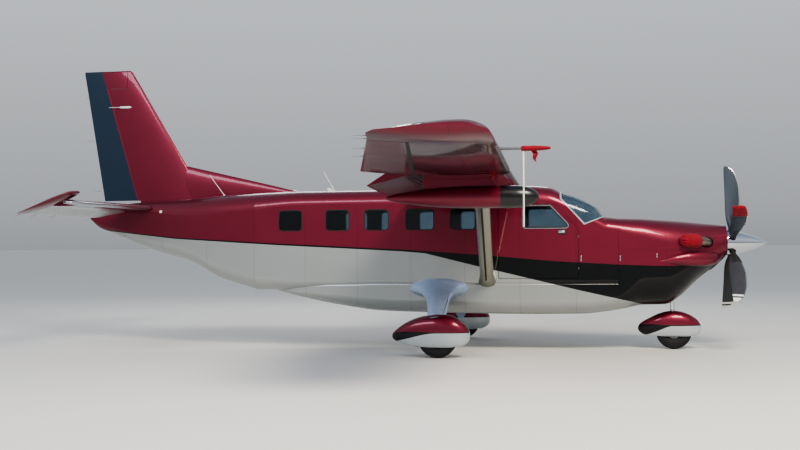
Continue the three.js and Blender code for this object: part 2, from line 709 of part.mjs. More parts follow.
// Roof with the wing's centre section
const roofRegion = prism(
  "y",
  [
    [CABIN_AFT, ROOF_SPLIT + GAP],
    [2583, ROOF_SPLIT + GAP],
    SHIELD.side,
    SHIELD.top,
    [CABIN_AFT, SHIELD.top[1]],
  ],
  -BEYOND,
  BEYOND,
);
const centreHalf = inner.intersect(box(WING_CHORD, [-1, WING_ROOT], WING_HEIGHTS));
add("cabin_roof", cabinShell.intersect(roofRegion).add(centreHalf).add(mirrored(centreHalf)), "red");

// Tail cone, open to the cabin through a hatch in its bulkhead
const HATCH = { radius: 240, z: 1850 };
const tailInside = loft([
  bodyRing(TAIL[0], TAIL_SKIN, TAIL[0].x - TAIL_SKIN),
  ...TAIL.slice(1, 6).map((s) => bodyRing(s, TAIL_SKIN)),
]);
const hatch = rod([CABIN_AFT + 20, 0, HATCH.z], [CABIN_AFT - 60, 0, HATCH.z], HATCH.radius, HATCH.radius, 24);
const stabilizerHalf = foil(STABILIZER, false);
const stabilizerBlank = stabilizerHalf.add(mirrored(stabilizerHalf));
const ELEVATOR = { hinge: -4900, inner: 225, innerBack: 400, horn: 2850, outer: 3110 };
const { inner: elevatorIn, horn: elevatorHorn, hinge: elevatorX } = ELEVATOR;
const elevatorLine = hingeLine(STABILIZER, elevatorIn, elevatorX, elevatorHorn, elevatorX, false);
const elevatorPlan = (g) => [
  [ELEVATOR.hinge, ELEVATOR.inner - g],
  [ELEVATOR.hinge, ELEVATOR.horn - g],
  [-4200, ELEVATOR.horn - g],
  [-4200, ELEVATOR.outer + 40],
  [-5600, ELEVATOR.outer + 40],
  [-5600, ELEVATOR.innerBack + 85 - g],
];
const elevatorCut = surfaceSpace(longer(elevatorLine, CLEAR), elevatorPlan(CLEAR), CLEAR);
const centreBack = box([-5600, ELEVATOR.hinge - 30], [-1, 420], WING_HEIGHTS);
const stabilizerCore = loft(
  [-1, 2780].map((y) => coreRing({ ...sectionAt(STABILIZER, Math.max(y, 1)), y }, TAIL_SKIN, 0.08, 0.44)),
);
const coreVent = box([-4990, -4700], [-60, 60], [2340, 2362]);
const elevatorBrackets = brackets(elevatorLine, [0.15, 0.85], AHEAD);
const stabilizerSide = cutAll(stabilizerHalf, [elevatorCut, centreBack, stabilizerCore]);
const stabilizerHeld = stabilizerSide.add(elevatorBrackets.lugs);
const stabilizer = stabilizerHeld.add(mirrored(stabilizerHeld)).subtract(coreVent);
const elevator = stabilizerHalf
  .intersect(surfaceSpace(elevatorLine, elevatorPlan(0), 0))
  .subtract(elevatorBrackets.notches);
addPair("elevator", swung(elevator, elevatorLine[1].point, elevatorLine[0].point, ELEVATOR_REST), "silver");
add("stabilizer", stabilizer, "red");
const stabilizerSlot = join([
  moved(stabilizerBlank, 0, 0, GAP),
  moved(stabilizerBlank, 0, 0, -GAP),
  moved(stabilizerBlank, 2 * GAP, 0, 0),
]);
const tailCone = tailSolid
  .subtract(tailInside)
  .subtract(hatch)
  .subtract(stabilizerSlot.intersect(box([-5000, -4300], [-700, 700], [2000, 2700])));
add("tail_cone", biggest(tailCone), "red");

// Fin and rudder: [height, leading edge, trailing edge, thickness ratio]
const FIN = [
  [2250, -3376, -5340, 0.09],
  [4450, -4686, -5702, 0.09],
  [4740, -4862, -5752, 0.07],
  [4766, -4905, -5744, 0.03],
];
const RUDDER = { low: 2488, horn: 4452, hornFront: -4950, top: 4700, hingeLow: -4754, hingeHigh: -5328 };
const asFin = ([x, y, z]) => [x, z, y];
const finRings = FIN.map(([z, front, back, thick]) =>
  foilRing({ y: z, front, back, z: 0, thick, droop: 0 }, false).map(asFin),
);
const finBlank = loft(finRings);
const finHalf = (z, x) => {
  const [z0, f0, b0, t0] = FIN[0];
  const [z1, f1, b1, t1] = FIN[1];
  const t = (z - z0) / (z1 - z0);
  const [front, back, thick] = [f0 + (f1 - f0) * t, b0 + (b1 - b0) * t, t0 + (t1 - t0) * t];
  return foilAt({ front, back, z: 0, thick, droop: 0 }, (front - x) / (front - back), false).half;
};
const rudderLine = [
  { point: [RUDDER.hingeLow, 0, RUDDER.low], half: finHalf(RUDDER.low, RUDDER.hingeLow) },
  { point: [RUDDER.hingeHigh, 0, RUDDER.horn], half: finHalf(RUDDER.horn, RUDDER.hingeHigh) },
];
function rudderSpace(g) {
  const behind = prism(
    "y",
    [
      [RUDDER.hingeLow + 3 + g / 2, RUDDER.low - g],
      [RUDDER.hingeHigh + 3 + g / 2, RUDDER.horn - g],
      [RUDDER.hornFront + g, RUDDER.horn - g],
      [RUDDER.hornFront + g, 4900],
      [-5900, 4900],
      [-5900, RUDDER.low - g],
    ],
    -300,
    300,
  );
  const [a, b] = g > 0 ? longer(rudderLine, g) : rudderLine;
  return behind.add(rod(a.point, b.point, a.half + g, b.half + g, BARREL_SIDES));
}
const rudderBrackets = brackets(rudderLine, [0.12, 0.85], AHEAD);
const rudderUnder = box([-5900, RUDDER.hingeLow + 60], [-300, 300], [2000, RUDDER.low]);
const rudder = cutAll(finBlank.intersect(rudderSpace(0)), [rudderUnder, rudderBrackets.notches]);
const DORSAL = [[-1790, 2600], [-3870, 3080], [-4100, 3080], [-4100, 2350], [-1790, 2350]];
const dorsal = prism("y", DORSAL, -24, 24);
const finCore = loft(
  [2260, 4380].map((z) => {
    const t = (z - FIN[0][0]) / (FIN[1][0] - FIN[0][0]);
    const [front, back, thick] = [1, 2, 3].map((k) => FIN[0][k] + (FIN[1][k] - FIN[0][k]) * t);
    return coreRing({ y: z, front, back, z: 0, thick, droop: 0 }, TAIL_SKIN, 0.06, 0.54).map(asFin);
  }),
);
const finSolid = cutAll(
  cutAll(finBlank, [finCore, rudderSpace(CLEAR), rudderUnder]).add(dorsal).add(rudderBrackets.lugs),
  [cabinGrown, tailGrown, tailInside],
);
add("fin", biggest(finSolid), "red");
add("rudder", biggest(rudder), "black");

// Cowl, split at the side, with cheeks on the lower half and a raked chin inlet
const CHEEK = [
  [5015, 1457, 8, 250],
  [4900, 1450, 80, 400],
  [4680, 1447, 118, 508],
  [4400, 1440, 100, 575],
  [4000, 1415, 60, 628],
  [3600, 1390, 22, 645],
];
const CHEEK_ROOT = 150; // the cheeks start from here, inside the cowl
const cheek = loft(
  CHEEK.map(([x, z, tall, out]) =>
    oval(12, (c, s) => {
      const share = c < -0.4 ? 0.2 : 1 + 0.12 * (c - 1);
      return [x, CHEEK_ROOT + (out - CHEEK_ROOT) * share, z + tall * s];
    }),
  ),
);
const cowlSolid = body(COWL).add(cheek).add(mirrored(cheek));
const cowlInside = loft([
  bodyRing(COWL[0], SKIN, FIREWALL - 30),
  ...COWL.slice(0, 6).map((s) => bodyRing(s, SKIN)),
  bodyRing(COWL[6], SKIN, COWL[6].x - SKIN),
]);
const CHIN = [[5130, 1560], [5062, 1455], [4905, 1290], [4800, 1100], [5300, 1100], [5300, 1560]];
const chin = prism("y", CHIN, -BEYOND, BEYOND);
const EXHAUST = { radius: 76, wall: 6, clear: 10 };
const exhaustPath = new THREE.CatmullRomCurve3([
  new THREE.Vector3(4800, 240.6, 1700),
  new THREE.Vector3(4800, 345, 1700),
  new THREE.Vector3(4725, 462, 1716),
  new THREE.Vector3(4600, 528, 1728),
  new THREE.Vector3(4430, 560, 1732),
]);
function pipe(radius, hole) {
  const shape = new THREE.Shape().absarc(0, 0, radius, 0, 2 * Math.PI);
  if (hole) shape.holes.push(new THREE.Path().absarc(0, 0, hole, 0, 2 * Math.PI, true));
  return fromGeometry(
    new THREE.ExtrudeGeometry(shape, { steps: 6, extrudePath: exhaustPath, curveSegments: 5 }),
  );
}
const exhaustHole = pipe(EXHAUST.radius + EXHAUST.clear, 0);
const shaftHole = rod([5000, 0, PROP_AXIS], [5200, 0, PROP_AXIS], 95, 95, ROUND);
const LEG_X = 4280; // the nose leg and the axis it steers about
const legHole = rod([LEG_X, 0, 600], [LEG_X, 0, 900], 75, 75, ROUND);
const cowlCuts = [cowlInside, chin, exhaustHole, mirrored(exhaustHole), shaftHole, legHole];
const cowlShell = cutAll(cowlSolid, cowlCuts);
const COWL_LENGTH = [3000, 5400];
const above = box(COWL_LENGTH, [-BEYOND, BEYOND], [COWL_SPLIT + GAP, DECK_TOP]);
const below = box(COWL_LENGTH, [-BEYOND, BEYOND], [0, COWL_SPLIT]);
add("cowl_upper", biggest(cowlShell.intersect(above)), "red");
add("cowl_lower", biggest(cowlShell.intersect(below)), "black");

// Belly pod: a tub that closes on the body's underside
const POD_SKIN = 22;
const podInside = body([{ ...POD[0], x: -1980, low: 925 }, POD[2], POD[4], POD[6], POD[8]], POD_SKIN);
add("belly_pod", biggest(podSolid.subtract(podInside).subtract(cabinGrown)), "silver");

// Engine block and exhausts
const ENGINE = { radius: 240, front: 4950, boss: 5084, bossRadius: 70 };
const onAxis = (from, to, radius) => rod([from, 0, PROP_AXIS], [to, 0, PROP_AXIS], radius, radius, ROUND);
const engine = onAxis(FIREWALL + GAP, ENGINE.front, ENGINE.radius).add(
  onAxis(ENGINE.front - 20, ENGINE.boss, ENGINE.bossRadius),
);
add("engine", engine, "grey");
addPair("exhaust", pipe(EXHAUST.radius, EXHAUST.radius - EXHAUST.wall), "steel");

// Propeller
const HUB = { radius: 95, front: 5300, neck: 55, plate: 198, plateBack: 5119, plateFront: 5125, sides: 20 };
const hubProfile = [
  [ENGINE.boss + GAP, 0],
  [ENGINE.boss + GAP, HUB.neck],
  [HUB.plateBack, HUB.neck],
  [HUB.plateBack, HUB.plate],
  [HUB.plateFront, HUB.plate],
  [HUB.plateFront, HUB.radius],
  [HUB.front, HUB.radius],
  [HUB.front, 0],
];
add("propeller_hub", turned(hubProfile, "x", [0, 0, PROP_AXIS], HUB.sides), "steel");
const SPINNER = { base: HUB.plateFront + GAP, radius: 205, wall: 6, steps: 6, sides: 16 };
function spinnerProfile(radius, front, steps) {
  const profile = [];
  for (let i = 0; i <= steps; i++) {
    const u = (i / steps) ** 0.85;
    const x = SPINNER.base + (front - SPINNER.base) * u;
    profile.push([x, i === steps ? 0 : radius * (1 - u ** 1.55) ** 0.9]);
  }
  return profile;
}
const bladeAngles = [0, 1, 2, 3, 4].map((k) => -8 + 72 * k);
const atAngle = (solid, degrees) => swung(solid, [0, 0, PROP_AXIS], [1, 0, PROP_AXIS], degrees);
const spinnerOutside = spinnerProfile(SPINNER.radius, NOSE_TIP, SPINNER.steps);
const spinnerInside = spinnerProfile(SPINNER.radius - 3 * SPINNER.wall, NOSE_TIP - 60, 3).reverse();
const spinnerSkin = turned(
  [...spinnerOutside, ...spinnerInside, spinnerOutside[0]],
  "x",
  [0, 0, PROP_AXIS],
  SPINNER.sides,
);
const BLADE_ROOT = 42;
const rootHole = rod(
  [PROP_PLANE, 0, PROP_AXIS + 120],
  [PROP_PLANE, 0, PROP_AXIS + 260],
  BLADE_ROOT + CLEAR,
  BLADE_ROOT + CLEAR,
  10,
);
add("spinner", cutAll(spinnerSkin, bladeAngles.map((a) => atAngle(rootHole, a))), "chrome");

// Blade sections: [radius, chord, thickness, middle ahead of the root, turn in degrees]
const BLADE = [
  [HUB.radius + GAP, 2 * BLADE_ROOT, 2 * BLADE_ROOT, 0, 0],
  [225, 2 * BLADE_ROOT, 2 * BLADE_ROOT, 0, 0],
  [330, 150, 56, 4, 16],
  [480, 214, 38, 18, 12],
  [690, 246, 26, 36, 6],
  [900, 236, 18, 30, 0],
  [1080, 190, 12, 4, -4],
  [1190, 124, 8, -28, -6],
  [PROP_RADIUS, 36, 5, -62, -7],
];
const bladeRings = BLADE.map(([r, chord, thick, ahead, turn]) => {
  const t = THREE.MathUtils.degToRad(turn);
  return oval(12, (c, s) => {
    const x = ahead + (chord / 2) * c;
    const y = (thick / 2) * s;
    return [
      PROP_PLANE + x * Math.cos(t) - y * Math.sin(t),
      x * Math.sin(t) + y * Math.cos(t),
      PROP_AXIS + r,
    ];
  });
});
const blade = loft(bladeRings);
bladeAngles.forEach((angle, k) => add("blade_" + (k + 1), atAngle(blade, angle), "grey"));

// Wheels: the tyre's radius is to the corners of its outline, and it rests on one flat
// Half of the tyre's section, in shares of its half width and of its height
const TYRE_SHAPE = [[-0.72, 0], [-1, 0.45], [-0.86, 0.82], [-0.45, 0.985], [0, 1]];
function wheel(name, centre, tyre, place) {
  const { radius, half, rim, bore, hubHalf } = tyre;
  const tread = rim + GAP;
  const oneSide = TYRE_SHAPE.map(([across, up]) => [half * across, tread + (radius - tread) * up]);
  const otherSide = oneSide.slice(0, -1).reverse().map(([across, r]) => [-across, r]);
  const tyreProfile = [...oneSide, ...otherSide, oneSide[0]];
  const rimSide = [[-hubHalf, bore], [-hubHalf, rim * 0.55], [-half * 0.6, rim * 0.62], [-half * 0.68, rim]];
  const rimProfile = [...rimSide, ...rimSide.slice().reverse().map(([across, r]) => [-across, r]), rimSide[0]];
  place(name + "_tyre", turned(tyreProfile, "y", centre), "rubber");
  place(name + "_wheel", turned(rimProfile, "y", centre), "silver");
}
const flatDown = (radius) => radius * Math.cos(Math.PI / ROUND);
const MAIN = { x: 720, y: 1730, tyre: { radius: 300, half: 115, rim: 128, bore: 29, hubHalf: 84 } };
const NOSE = { x: 4300, tyre: { radius: 280, half: 80, rim: 105, bore: 21, hubHalf: 62 } };
const mainZ = flatDown(MAIN.tyre.radius);
const noseZ = flatDown(NOSE.tyre.radius);
wheel("main", [MAIN.x, MAIN.y, mainZ], MAIN.tyre, (name, solid, finish) => addPair(name, solid, finish));
wheel("nose", [NOSE.x, 0, noseZ], NOSE.tyre, add);

// Main legs in polished fairings: [x, y, z, half chord, half thickness, tilt of the section in degrees]
const LEG = [
  [620, 560, 1000, 560, 170, 90],
  [615, 745, 995, 480, 160, 84],
  [615, 850, 968, 352, 112, 74],
  [625, 960, 925, 258, 80, 66],
  [650, 1120, 850, 196, 62, 60],
  [664, 1300, 735, 160, 52, 52],
  [676, 1470, 590, 140, 44, 46],
  [700, 1548, 470, 96, 26, 30],
  [716, 1572, 300, 50, 18, 10],
];
function legRings(grow) {
  const [x, y, z, ...section] = LEG[LEG.length - 1];
  const table = grow > 0 ? [...LEG, [x, y + grow, z - 3 * grow, ...section]] : LEG;
  return table.map(([x, y, z, chord, thick, tilt]) => {
    const t = THREE.MathUtils.degToRad(tilt);
    return oval(14, (c, s) => {
      const across = (thick + grow) * s;
      return [x + (chord + grow) * c, y + across * Math.cos(t), z + across * Math.sin(t)];
    });
  });
}
const axle = (grow) => rod([MAIN.x, 1566, mainZ], [MAIN.x, 1830 + grow, mainZ], 28 + grow, 28 + grow, 20);
const legBlank = loft(legRings(0)).subtract(moved(cabinSolid, 0, GAP, 0)).subtract(moved(podSolid, 0, GAP, 0));
addPair("main_leg", biggest(legBlank).add(axle(0)), "chrome");

// Wheel pants: [x, half width, bottom, top]
function pantSolid(table, yCentre) {
  const squarer = (c) => Math.sign(c) * Math.abs(c) ** 0.8;
  return loft(
    table.map(([x, half, low, high]) =>
      oval(14, (c, s) => [x, yCentre + half * squarer(c), (low + high) / 2 + ((high - low) / 2) * squarer(s)]),
    ),
  );
}
const MAIN_PANT = [
  [30, 12, 298, 340],
  [120, 70, 240, 425],
  [280, 128, 190, 525],
  [480, 172, 155, 618],
  [680, 186, 145, 650],
  [880, 180, 152, 615],
  [1060, 148, 178, 530],
  [1170, 90, 235, 440],
  [1210, 30, 305, 385],
];
const mainWell = rod([MAIN.x, MAIN.y - 128, mainZ], [MAIN.x, MAIN.y + 128, mainZ], 322, 322, 20);
const mainPant = cutAll(pantSolid(MAIN_PANT, MAIN.y), [mainWell, loft(legRings(1)), axle(0.5)]);
addPair("main_pant", biggest(mainPant), "red");

// Nose leg, with a brace back to the firewall, and the fork that steers below it
const ARCH = {
  front: NOSE.x + 44,
  back: NOSE.x - 60,
  arm: [86, 102],
  shoulder: 540,
  crown: 594,
  half: 60,
  thick: 26,
};
const archOutline = (g) => [
  [-ARCH.arm[1] - g, noseZ - 40],
  [-ARCH.arm[1] - g, ARCH.shoulder + g],
  [-ARCH.half - g, ARCH.crown + g],
  [ARCH.half + g, ARCH.crown + g],
  [ARCH.arm[1] + g, ARCH.shoulder + g],
  [ARCH.arm[1] + g, noseZ - 40],
];
const archInside = [
  [ARCH.arm[0], noseZ - 40],
  [ARCH.arm[0], ARCH.shoulder - 5],
  [ARCH.half - 10, ARCH.crown - ARCH.thick],
  [10 - ARCH.half, ARCH.crown - ARCH.thick],
  [-ARCH.arm[0], ARCH.shoulder - 5],
  [-ARCH.arm[0], noseZ - 40],
];
const LEG_FOOT = 640;
const STEM = 36; // radius of the steering stem
const brace = (z, firewallZ) => rod([LEG_X, 0, z], [FIREWALL + 12, 0, firewallZ], 34, 34, 12);
const noseLeg = join([
  rod([LEG_X, 0, LEG_FOOT], [LEG_X, 0, 1250], 48, 48, 20),
  brace(1215, 1330),
  brace(1000, 1080),
  box([FIREWALL + GAP, FIREWALL + 25], [-90, 90], [1020, 1390]),
]);
add("nose_leg", noseLeg, "silver");
const noseFork = join([
  rod([LEG_X, 0, ARCH.crown - 10], [LEG_X, 0, LEG_FOOT - GAP], STEM, STEM, 20),
  prism("x", [...archOutline(0), ...archInside], ARCH.back, ARCH.front),
  rod([NOSE.x, -95, noseZ], [NOSE.x, 95, noseZ], 20.2, 20.2, 20),
]);
add("nose_fork", noseFork, "silver");
const NOSE_PANT = [
  [3740, 10, 318, 350],
  [3830, 62, 262, 425],
  [3960, 104, 215, 500],
  [4120, 138, 180, 578],
  [4290, 152, 170, 614],
  [4450, 146, 176, 590],
  [4600, 112, 205, 505],
  [4700, 62, 265, 425],
  [4730, 18, 320, 370],
];
const noseWell = join([
  rod([NOSE.x, -93, noseZ], [NOSE.x, 93, noseZ], 302, 302, 20),
  prism("x", archOutline(2 * GAP), ARCH.back - GAP, ARCH.front + GAP),
  rod([LEG_X, 0, 500], [LEG_X, 0, 700], STEM + 2 * GAP, STEM + 2 * GAP, 20),
]);
add("nose_pant", biggest(pantSolid(NOSE_PANT, 0).subtract(noseWell)), "red");

// Seats on rails, and the instrument panel on its pedestal
const FLOOR = BODY_LOW + WALL + GAP;
const BACKREST = [[-130, 380], [-230, 380], [-340, 960], [-260, 960]];
function seat(x, y) {
  const backrest = BACKREST.map(([dx, dz]) => [x + dx, FLOOR + dz]);
  return join([
    box([x - 190, x + 190], [y - 180, y + 180], [FLOOR + 17, FLOOR + 240]),
    box([x - 220, x + 240], [y - 215, y + 215], [FLOOR + 239, FLOOR + 390]),
    prism("y", backrest, y - 205, y + 205),
  ]);
}
const SEAT_Y = 385;
const SEAT_ROWS = [2150, 1150, 150, -850, -1750];
const seats = SEAT_ROWS.flatMap((x) => [seat(x, -SEAT_Y), seat(x, SEAT_Y)]);
const rails = [-SEAT_Y, SEAT_Y].map((y) => box([-1950, 2350], [y - 30, y + 30], [FLOOR, FLOOR + 18]));
add("seats", join([...seats, ...rails, box([-870, -830], [-400, 400], [FLOOR, FLOOR + 18])]), "trim");
const panel = join([
  prism("y", [[2880, 1520], [2990, 1520], [3060, 2000], [2900, 2000], [2860, 1960]], -560, 560),
  box([2740, 2985], [-130, 130], [FLOOR, 1560]),
]);
add("instrument_panel", panel, "grey");

export default plane;
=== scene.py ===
import json
import math

import bmesh
import bpy
import numpy as np
from mathutils import Matrix, Vector
from mathutils.bvhtree import BVHTree
from mathutils.interpolate import poly_3d_calc

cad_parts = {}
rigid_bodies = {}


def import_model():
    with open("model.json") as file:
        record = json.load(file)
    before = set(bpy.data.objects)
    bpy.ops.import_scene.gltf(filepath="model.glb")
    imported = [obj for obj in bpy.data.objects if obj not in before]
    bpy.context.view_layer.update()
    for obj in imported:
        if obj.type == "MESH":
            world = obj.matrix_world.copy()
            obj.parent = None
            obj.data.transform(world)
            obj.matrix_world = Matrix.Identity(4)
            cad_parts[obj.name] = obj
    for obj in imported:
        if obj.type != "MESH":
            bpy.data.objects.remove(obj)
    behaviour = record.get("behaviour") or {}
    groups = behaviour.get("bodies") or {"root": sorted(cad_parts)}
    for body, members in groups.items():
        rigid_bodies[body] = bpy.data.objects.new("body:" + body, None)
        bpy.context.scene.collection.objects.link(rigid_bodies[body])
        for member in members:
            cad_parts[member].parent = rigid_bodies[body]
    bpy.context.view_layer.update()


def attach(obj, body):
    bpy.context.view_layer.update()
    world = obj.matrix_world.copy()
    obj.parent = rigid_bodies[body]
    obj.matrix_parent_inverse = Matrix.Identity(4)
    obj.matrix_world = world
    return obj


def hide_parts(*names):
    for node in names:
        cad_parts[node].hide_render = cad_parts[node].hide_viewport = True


# A single-engine turboprop plane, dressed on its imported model. +X points to the nose, +Y to the left side.
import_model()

# Shapes are worked out in millimetres, as on the drawing, and made in metres
MM = 0.001

# Sizes of the plane
HALF_SPAN = 6860
CABIN_AFT = -2450
FIREWALL = 3420
WALL = 40
SKIN = 16
# Between two pieces that touch, and round a piece that swings
GAP = 0.3
CLEAR = 6
BODY_LOW = 968
FLOOR_SPLIT = 1130
ROOF_SPLIT = 2340
COWL_SPLIT = 1590
PROP_AXIS = 1695
PROP_PLANE = 5205
PROP_RADIUS = 1240
NOSE_TIP = 5752
FLAP_REST = 20
ELEVATOR_REST = 20
# How far cutting shapes reach to each side, and in height at the wing and the tail
BEYOND = 900
WING_HEIGHTS = (1500, 4000)

# Body sections: x, half width, bottom, top, then width and height of the upper and of the lower corners
CABIN = [
    (-2450, 700, 965, 2571, 330, 300, 240, 240),
    (-1700, 738, 965, 2588, 300, 250, 180, 180),
    (-800, 745, 968, 2588, 290, 240, 160, 160),
    (2050, 745, 968, 2622, 290, 240, 160, 160),
    (2390, 742, 968, 2589, 290, 240, 160, 160),
    (2510, 738, 968, 2533, 290, 220, 160, 160),
    (2870, 705, 968, 2323, 270, 200, 160, 160),
    (3222, 662, 968, 2118, 250, 190, 160, 160),
    (3420, 640, 968, 2094, 250, 200, 160, 160),
]
TAIL = [
    (-2450.3, 700, 965, 2571, 330, 300, 240, 240),
    (-3180, 590, 1170, 2541, 320, 320, 280, 260),
    (-3640, 500, 1400, 2504, 300, 300, 280, 260),
    (-4500, 270, 1646, 2462, 200, 220, 180, 200),
    (-4900, 190, 1800, 2440, 150, 180, 140, 170),
    (-5290, 110, 1954, 2370, 90, 120, 80, 110),
    (-5480, 70, 2030, 2310, 60, 90, 60, 80),
    (-5640, 25, 2165, 2230, 22, 28, 22, 28),
]
COWL = [
    (3420.3, 648, 652, 2094, 250, 200, 262, 222),
    (3520, 643, 668, 2091, 262, 226, 292, 262),
    (3640, 636, 692, 2087, 276, 254, 345, 350),
    (3775, 628, 714, 2083, 290, 280, 400, 450),
    (4160, 590, 727, 2060, 360, 360, 400, 460),
    (4400, 540, 860, 2044, 380, 380, 390, 430),
    (4680, 455, 1115, 2018, 370, 370, 370, 400),
    (4920, 345, 1300, 1993, 320, 320, 320, 310),
    (5110, 275, 1420, 1970, 273, 273, 273, 273),
]
POD = [
    (-2080, 560, 938, 1030, 60, 40, 120, 40),
    (-1750, 660, 859, 1060, 60, 60, 200, 90),
    (-1310, 718, 764, 1080, 60, 60, 250, 160),
    (-880, 742, 692, 1085, 60, 60, 260, 200),
    (-410, 750, 630, 1085, 40, 40, 260, 220),
    (570, 750, 598, 1085, 40, 40, 260, 220),
    (2030, 750, 580, 1085, 40, 40, 260, 220),
    (2870, 714, 588, 1085, 40, 40, 260, 220),
    (3222, 672, 622, 1085, 40, 40, 260, 220),
    (3420, 650, 652, 1085, 40, 40, 260, 220),
]

# Wing sections: span, leading and trailing edge, height of the chord line, thickness ratio, nose droop
# The outer wing starts a millimetre inside the inner one, so that the two join
WING_CUFF_AT = 4100
WING_ROOT = 720
WING_IN = [
    (0, 1920, 30, 2555, 0.155, 0),
    (WING_ROOT, 1920, 30, 2555, 0.155, 0),
    (WING_CUFF_AT, 1920, 50, 2702, 0.15, 0),
]
WING_OUT = [
    (WING_CUFF_AT - 1, 1990, 50, 2702, 0.15, 100),
    (6600, 1990, 640, 2858, 0.145, 70),
    (6800, 1960, 665, 2890, 0.12, 50),
    (HALF_SPAN, 1850, 760, 2915, 0.05, 20),
]
STABILIZER = [
    (0, -4400, -5370, 2350, 0.11, 0),
    (2900, -4425, -5370, 2352, 0.1, 0),
    (3060, -4460, -5365, 2352, 0.08, 0),
    (3110, -4560, -5340, 2352, 0.04, 0),
]
# The fin's sections lie flat at each height: height, leading and trailing edge, then as above
FIN = [
    (2250, -3376, -5340, 0, 0.09, 0),
    (4450, -4686, -5702, 0, 0.09, 0),
    (4740, -4862, -5752, 0, 0.07, 0),
    (4766, -4905, -5744, 0, 0.03, 0),
]
# Control surfaces: ends, x of the hinge line at its two ends, room round the nose
FLAP = {"inner": 785, "outer": 3895, "hinge": (610, 610), "clear": 11}
# The aileron's hinge line is given at the wing's cuff and at its outer end
AILERON = {"inner": 3985, "outer": 6490, "hinge": (737, 1050), "clear": 17}
ELEVATOR = {"inner": 225, "outer": 2850, "hinge": (-4900, -4900)}
RUDDER = {"inner": 2488, "horn": 4452, "hinge": (-4754, -5328), "horn_front": -4950}

# Doors and windows in the side view, x and z
SHIELD = {"corner": (2900, 1990), "base": (3222, 2118), "side": (2530, 2400), "top": (2515, 2700)}
CREW_DOOR = [(1560, 1150), (2810, 1150), (2810, 1930), (2452, 2320), (1560, 2320)]
CREW_WINDOW = [(1960, 1950), (2690, 1950), (2375, 2290), (1960, 2290)]
CARGO_DOOR = {"back": -1370, "front": -120, "low": 1150, "split": 1740, "high": 2320}
WINDOWS = [(-2020, -1630), (-1230, -840), (-590, -195), (84, 539), (804, 1200)]
SILL = 1930
HEAD = 2262
PANE = 12
PANE_DEPTH = 6


# Meshes

def new_object(name, mesh):
    made = bpy.data.objects.new(name, mesh)
    bpy.context.scene.collection.objects.link(made)
    return made


def worked(mesh, operation):
    """Puts a mesh through a bmesh operation"""
    work = bmesh.new()
    work.from_mesh(mesh)
    operation(work)
    work.to_mesh(mesh)
    work.free()


def shape(points, faces, weld=False):
    """An object from points in millimetres, with its faces turned outwards"""
    mesh = bpy.data.meshes.new("shape")
    mesh.from_pydata((np.asarray(points, float).reshape(-1, 3) * MM).tolist(), [], faces)

    def closed_up(work):
        if weld:
            bmesh.ops.remove_doubles(work, verts=work.verts, dist=1e-6)
        bmesh.ops.recalc_face_normals(work, faces=work.faces)

    worked(mesh, closed_up)
    return new_object("shape", mesh)


def circle(steps):
    """Angles round a circle"""
    return np.linspace(0, 2 * math.pi, steps, endpoint=False)


def stacked(x, y, z):
    """Points from coordinates of any matching sizes"""
    return np.stack(np.broadcast_arrays(x, y, z), -1)


def grid_faces(rings, around, closed=True):
    """Four-sided faces between rings of points, each ring a closed loop or an open line"""
    return [
        (r * around + i, r * around + (i + 1) % around,
         (r + 1) * around + (i + 1) % around, (r + 1) * around + i)
        for r in range(rings - 1)
        for i in range(around if closed else around - 1)
    ]


def loft(points, weld=False):
    """A closed body through rings of points"""
    points = np.asarray(points, float)
    rings, around = points.shape[:2]
    ends = [tuple(range(around)), tuple((rings - 1) * around + i for i in range(around))]
    return shape(points, grid_faces(rings, around) + ends, weld)


def ring_body(points):
    """A body whose last ring joins its first, such as a gasket"""
    points = np.asarray(points, float)
    return shape(np.concatenate([points, points[:1]]), grid_faces(len(points) + 1, points.shape[1]), True)


def turned(profile, axis, centre, steps=64):
    """A turned body: profile points are the distance along the axis and the radius"""
    along, radius = np.array(profile, float).T[:, :, None]
    a, b = radius * np.cos(circle(steps)), radius * np.sin(circle(steps))
    points = stacked(*{"x": (along, a, b), "y": (a, along, b), "z": (a, b, along)}[axis]) + centre
    if profile[0] == profile[-1]:
        return shape(points, grid_faces(len(points), steps), True)
    return loft(points, True)


def prism(axis, outline, low, high):
    """A flat outline pushed along an axis: points are x, z for y, x, y for z, and y, z for x"""
    place = {"x": lambda a, b, c: (c, a, b), "y": lambda a, b, c: (a, c, b), "z": lambda a, b, c: (a, b, c)}
    return loft([[place[axis](a, b, c) for a, b in outline] for c in (low, high)])


def box(x, y, z, bevel=0, steps=2):
    """A block with rounded edges"""
    made = prism("z", [(x[0], y[0]), (x[1], y[0]), (x[1], y[1]), (x[0], y[1])], *z)
    if bevel:
        worked(made.data, lambda work: bmesh.ops.bevel(
            work, geom=work.edges[:], offset=bevel * MM, segments=steps, affect="EDGES", profile=0.5))
    return made


def tube(path, radius, sides=12, flat=1.0):
    """A round bar along a path, its radius one number or one for each point; flat squeezes it in height"""
    path = [Vector(p) for p in path]
    radii = np.broadcast_to(radius, len(path)).tolist()
    rings = []
    for i, place in enumerate(path):
        along = (path[min(i + 1, len(path) - 1)] - path[max(i - 1, 0)]).normalized()
        side = along.cross(Vector((0, 0, 1)))
        if side.length < 0.05:
            side = along.cross(Vector((0, 1, 0)))
        side.normalize()
        rise = side.cross(along)
        rings.append([place + radii[i] * (math.cos(a) * side + flat * math.sin(a) * rise) for a in circle(sides)])
    return loft(rings, True)


def rod(start, end, first, second=None, sides=32):
    return tube([start, end], [first, first if second is None else second], sides)


def joined(objects):
    """Several bodies as one mesh"""
    mesh = bpy.data.meshes.new("joined")
    work = bmesh.new()
    for one in objects:
        work.from_mesh(one.data)
    work.to_mesh(mesh)
    work.free()
    return new_object("joined", mesh)


def places(mesh):
    points = np.empty(len(mesh.vertices) * 3)
    mesh.vertices.foreach_get("co", points)
    return points.reshape(-1, 3)


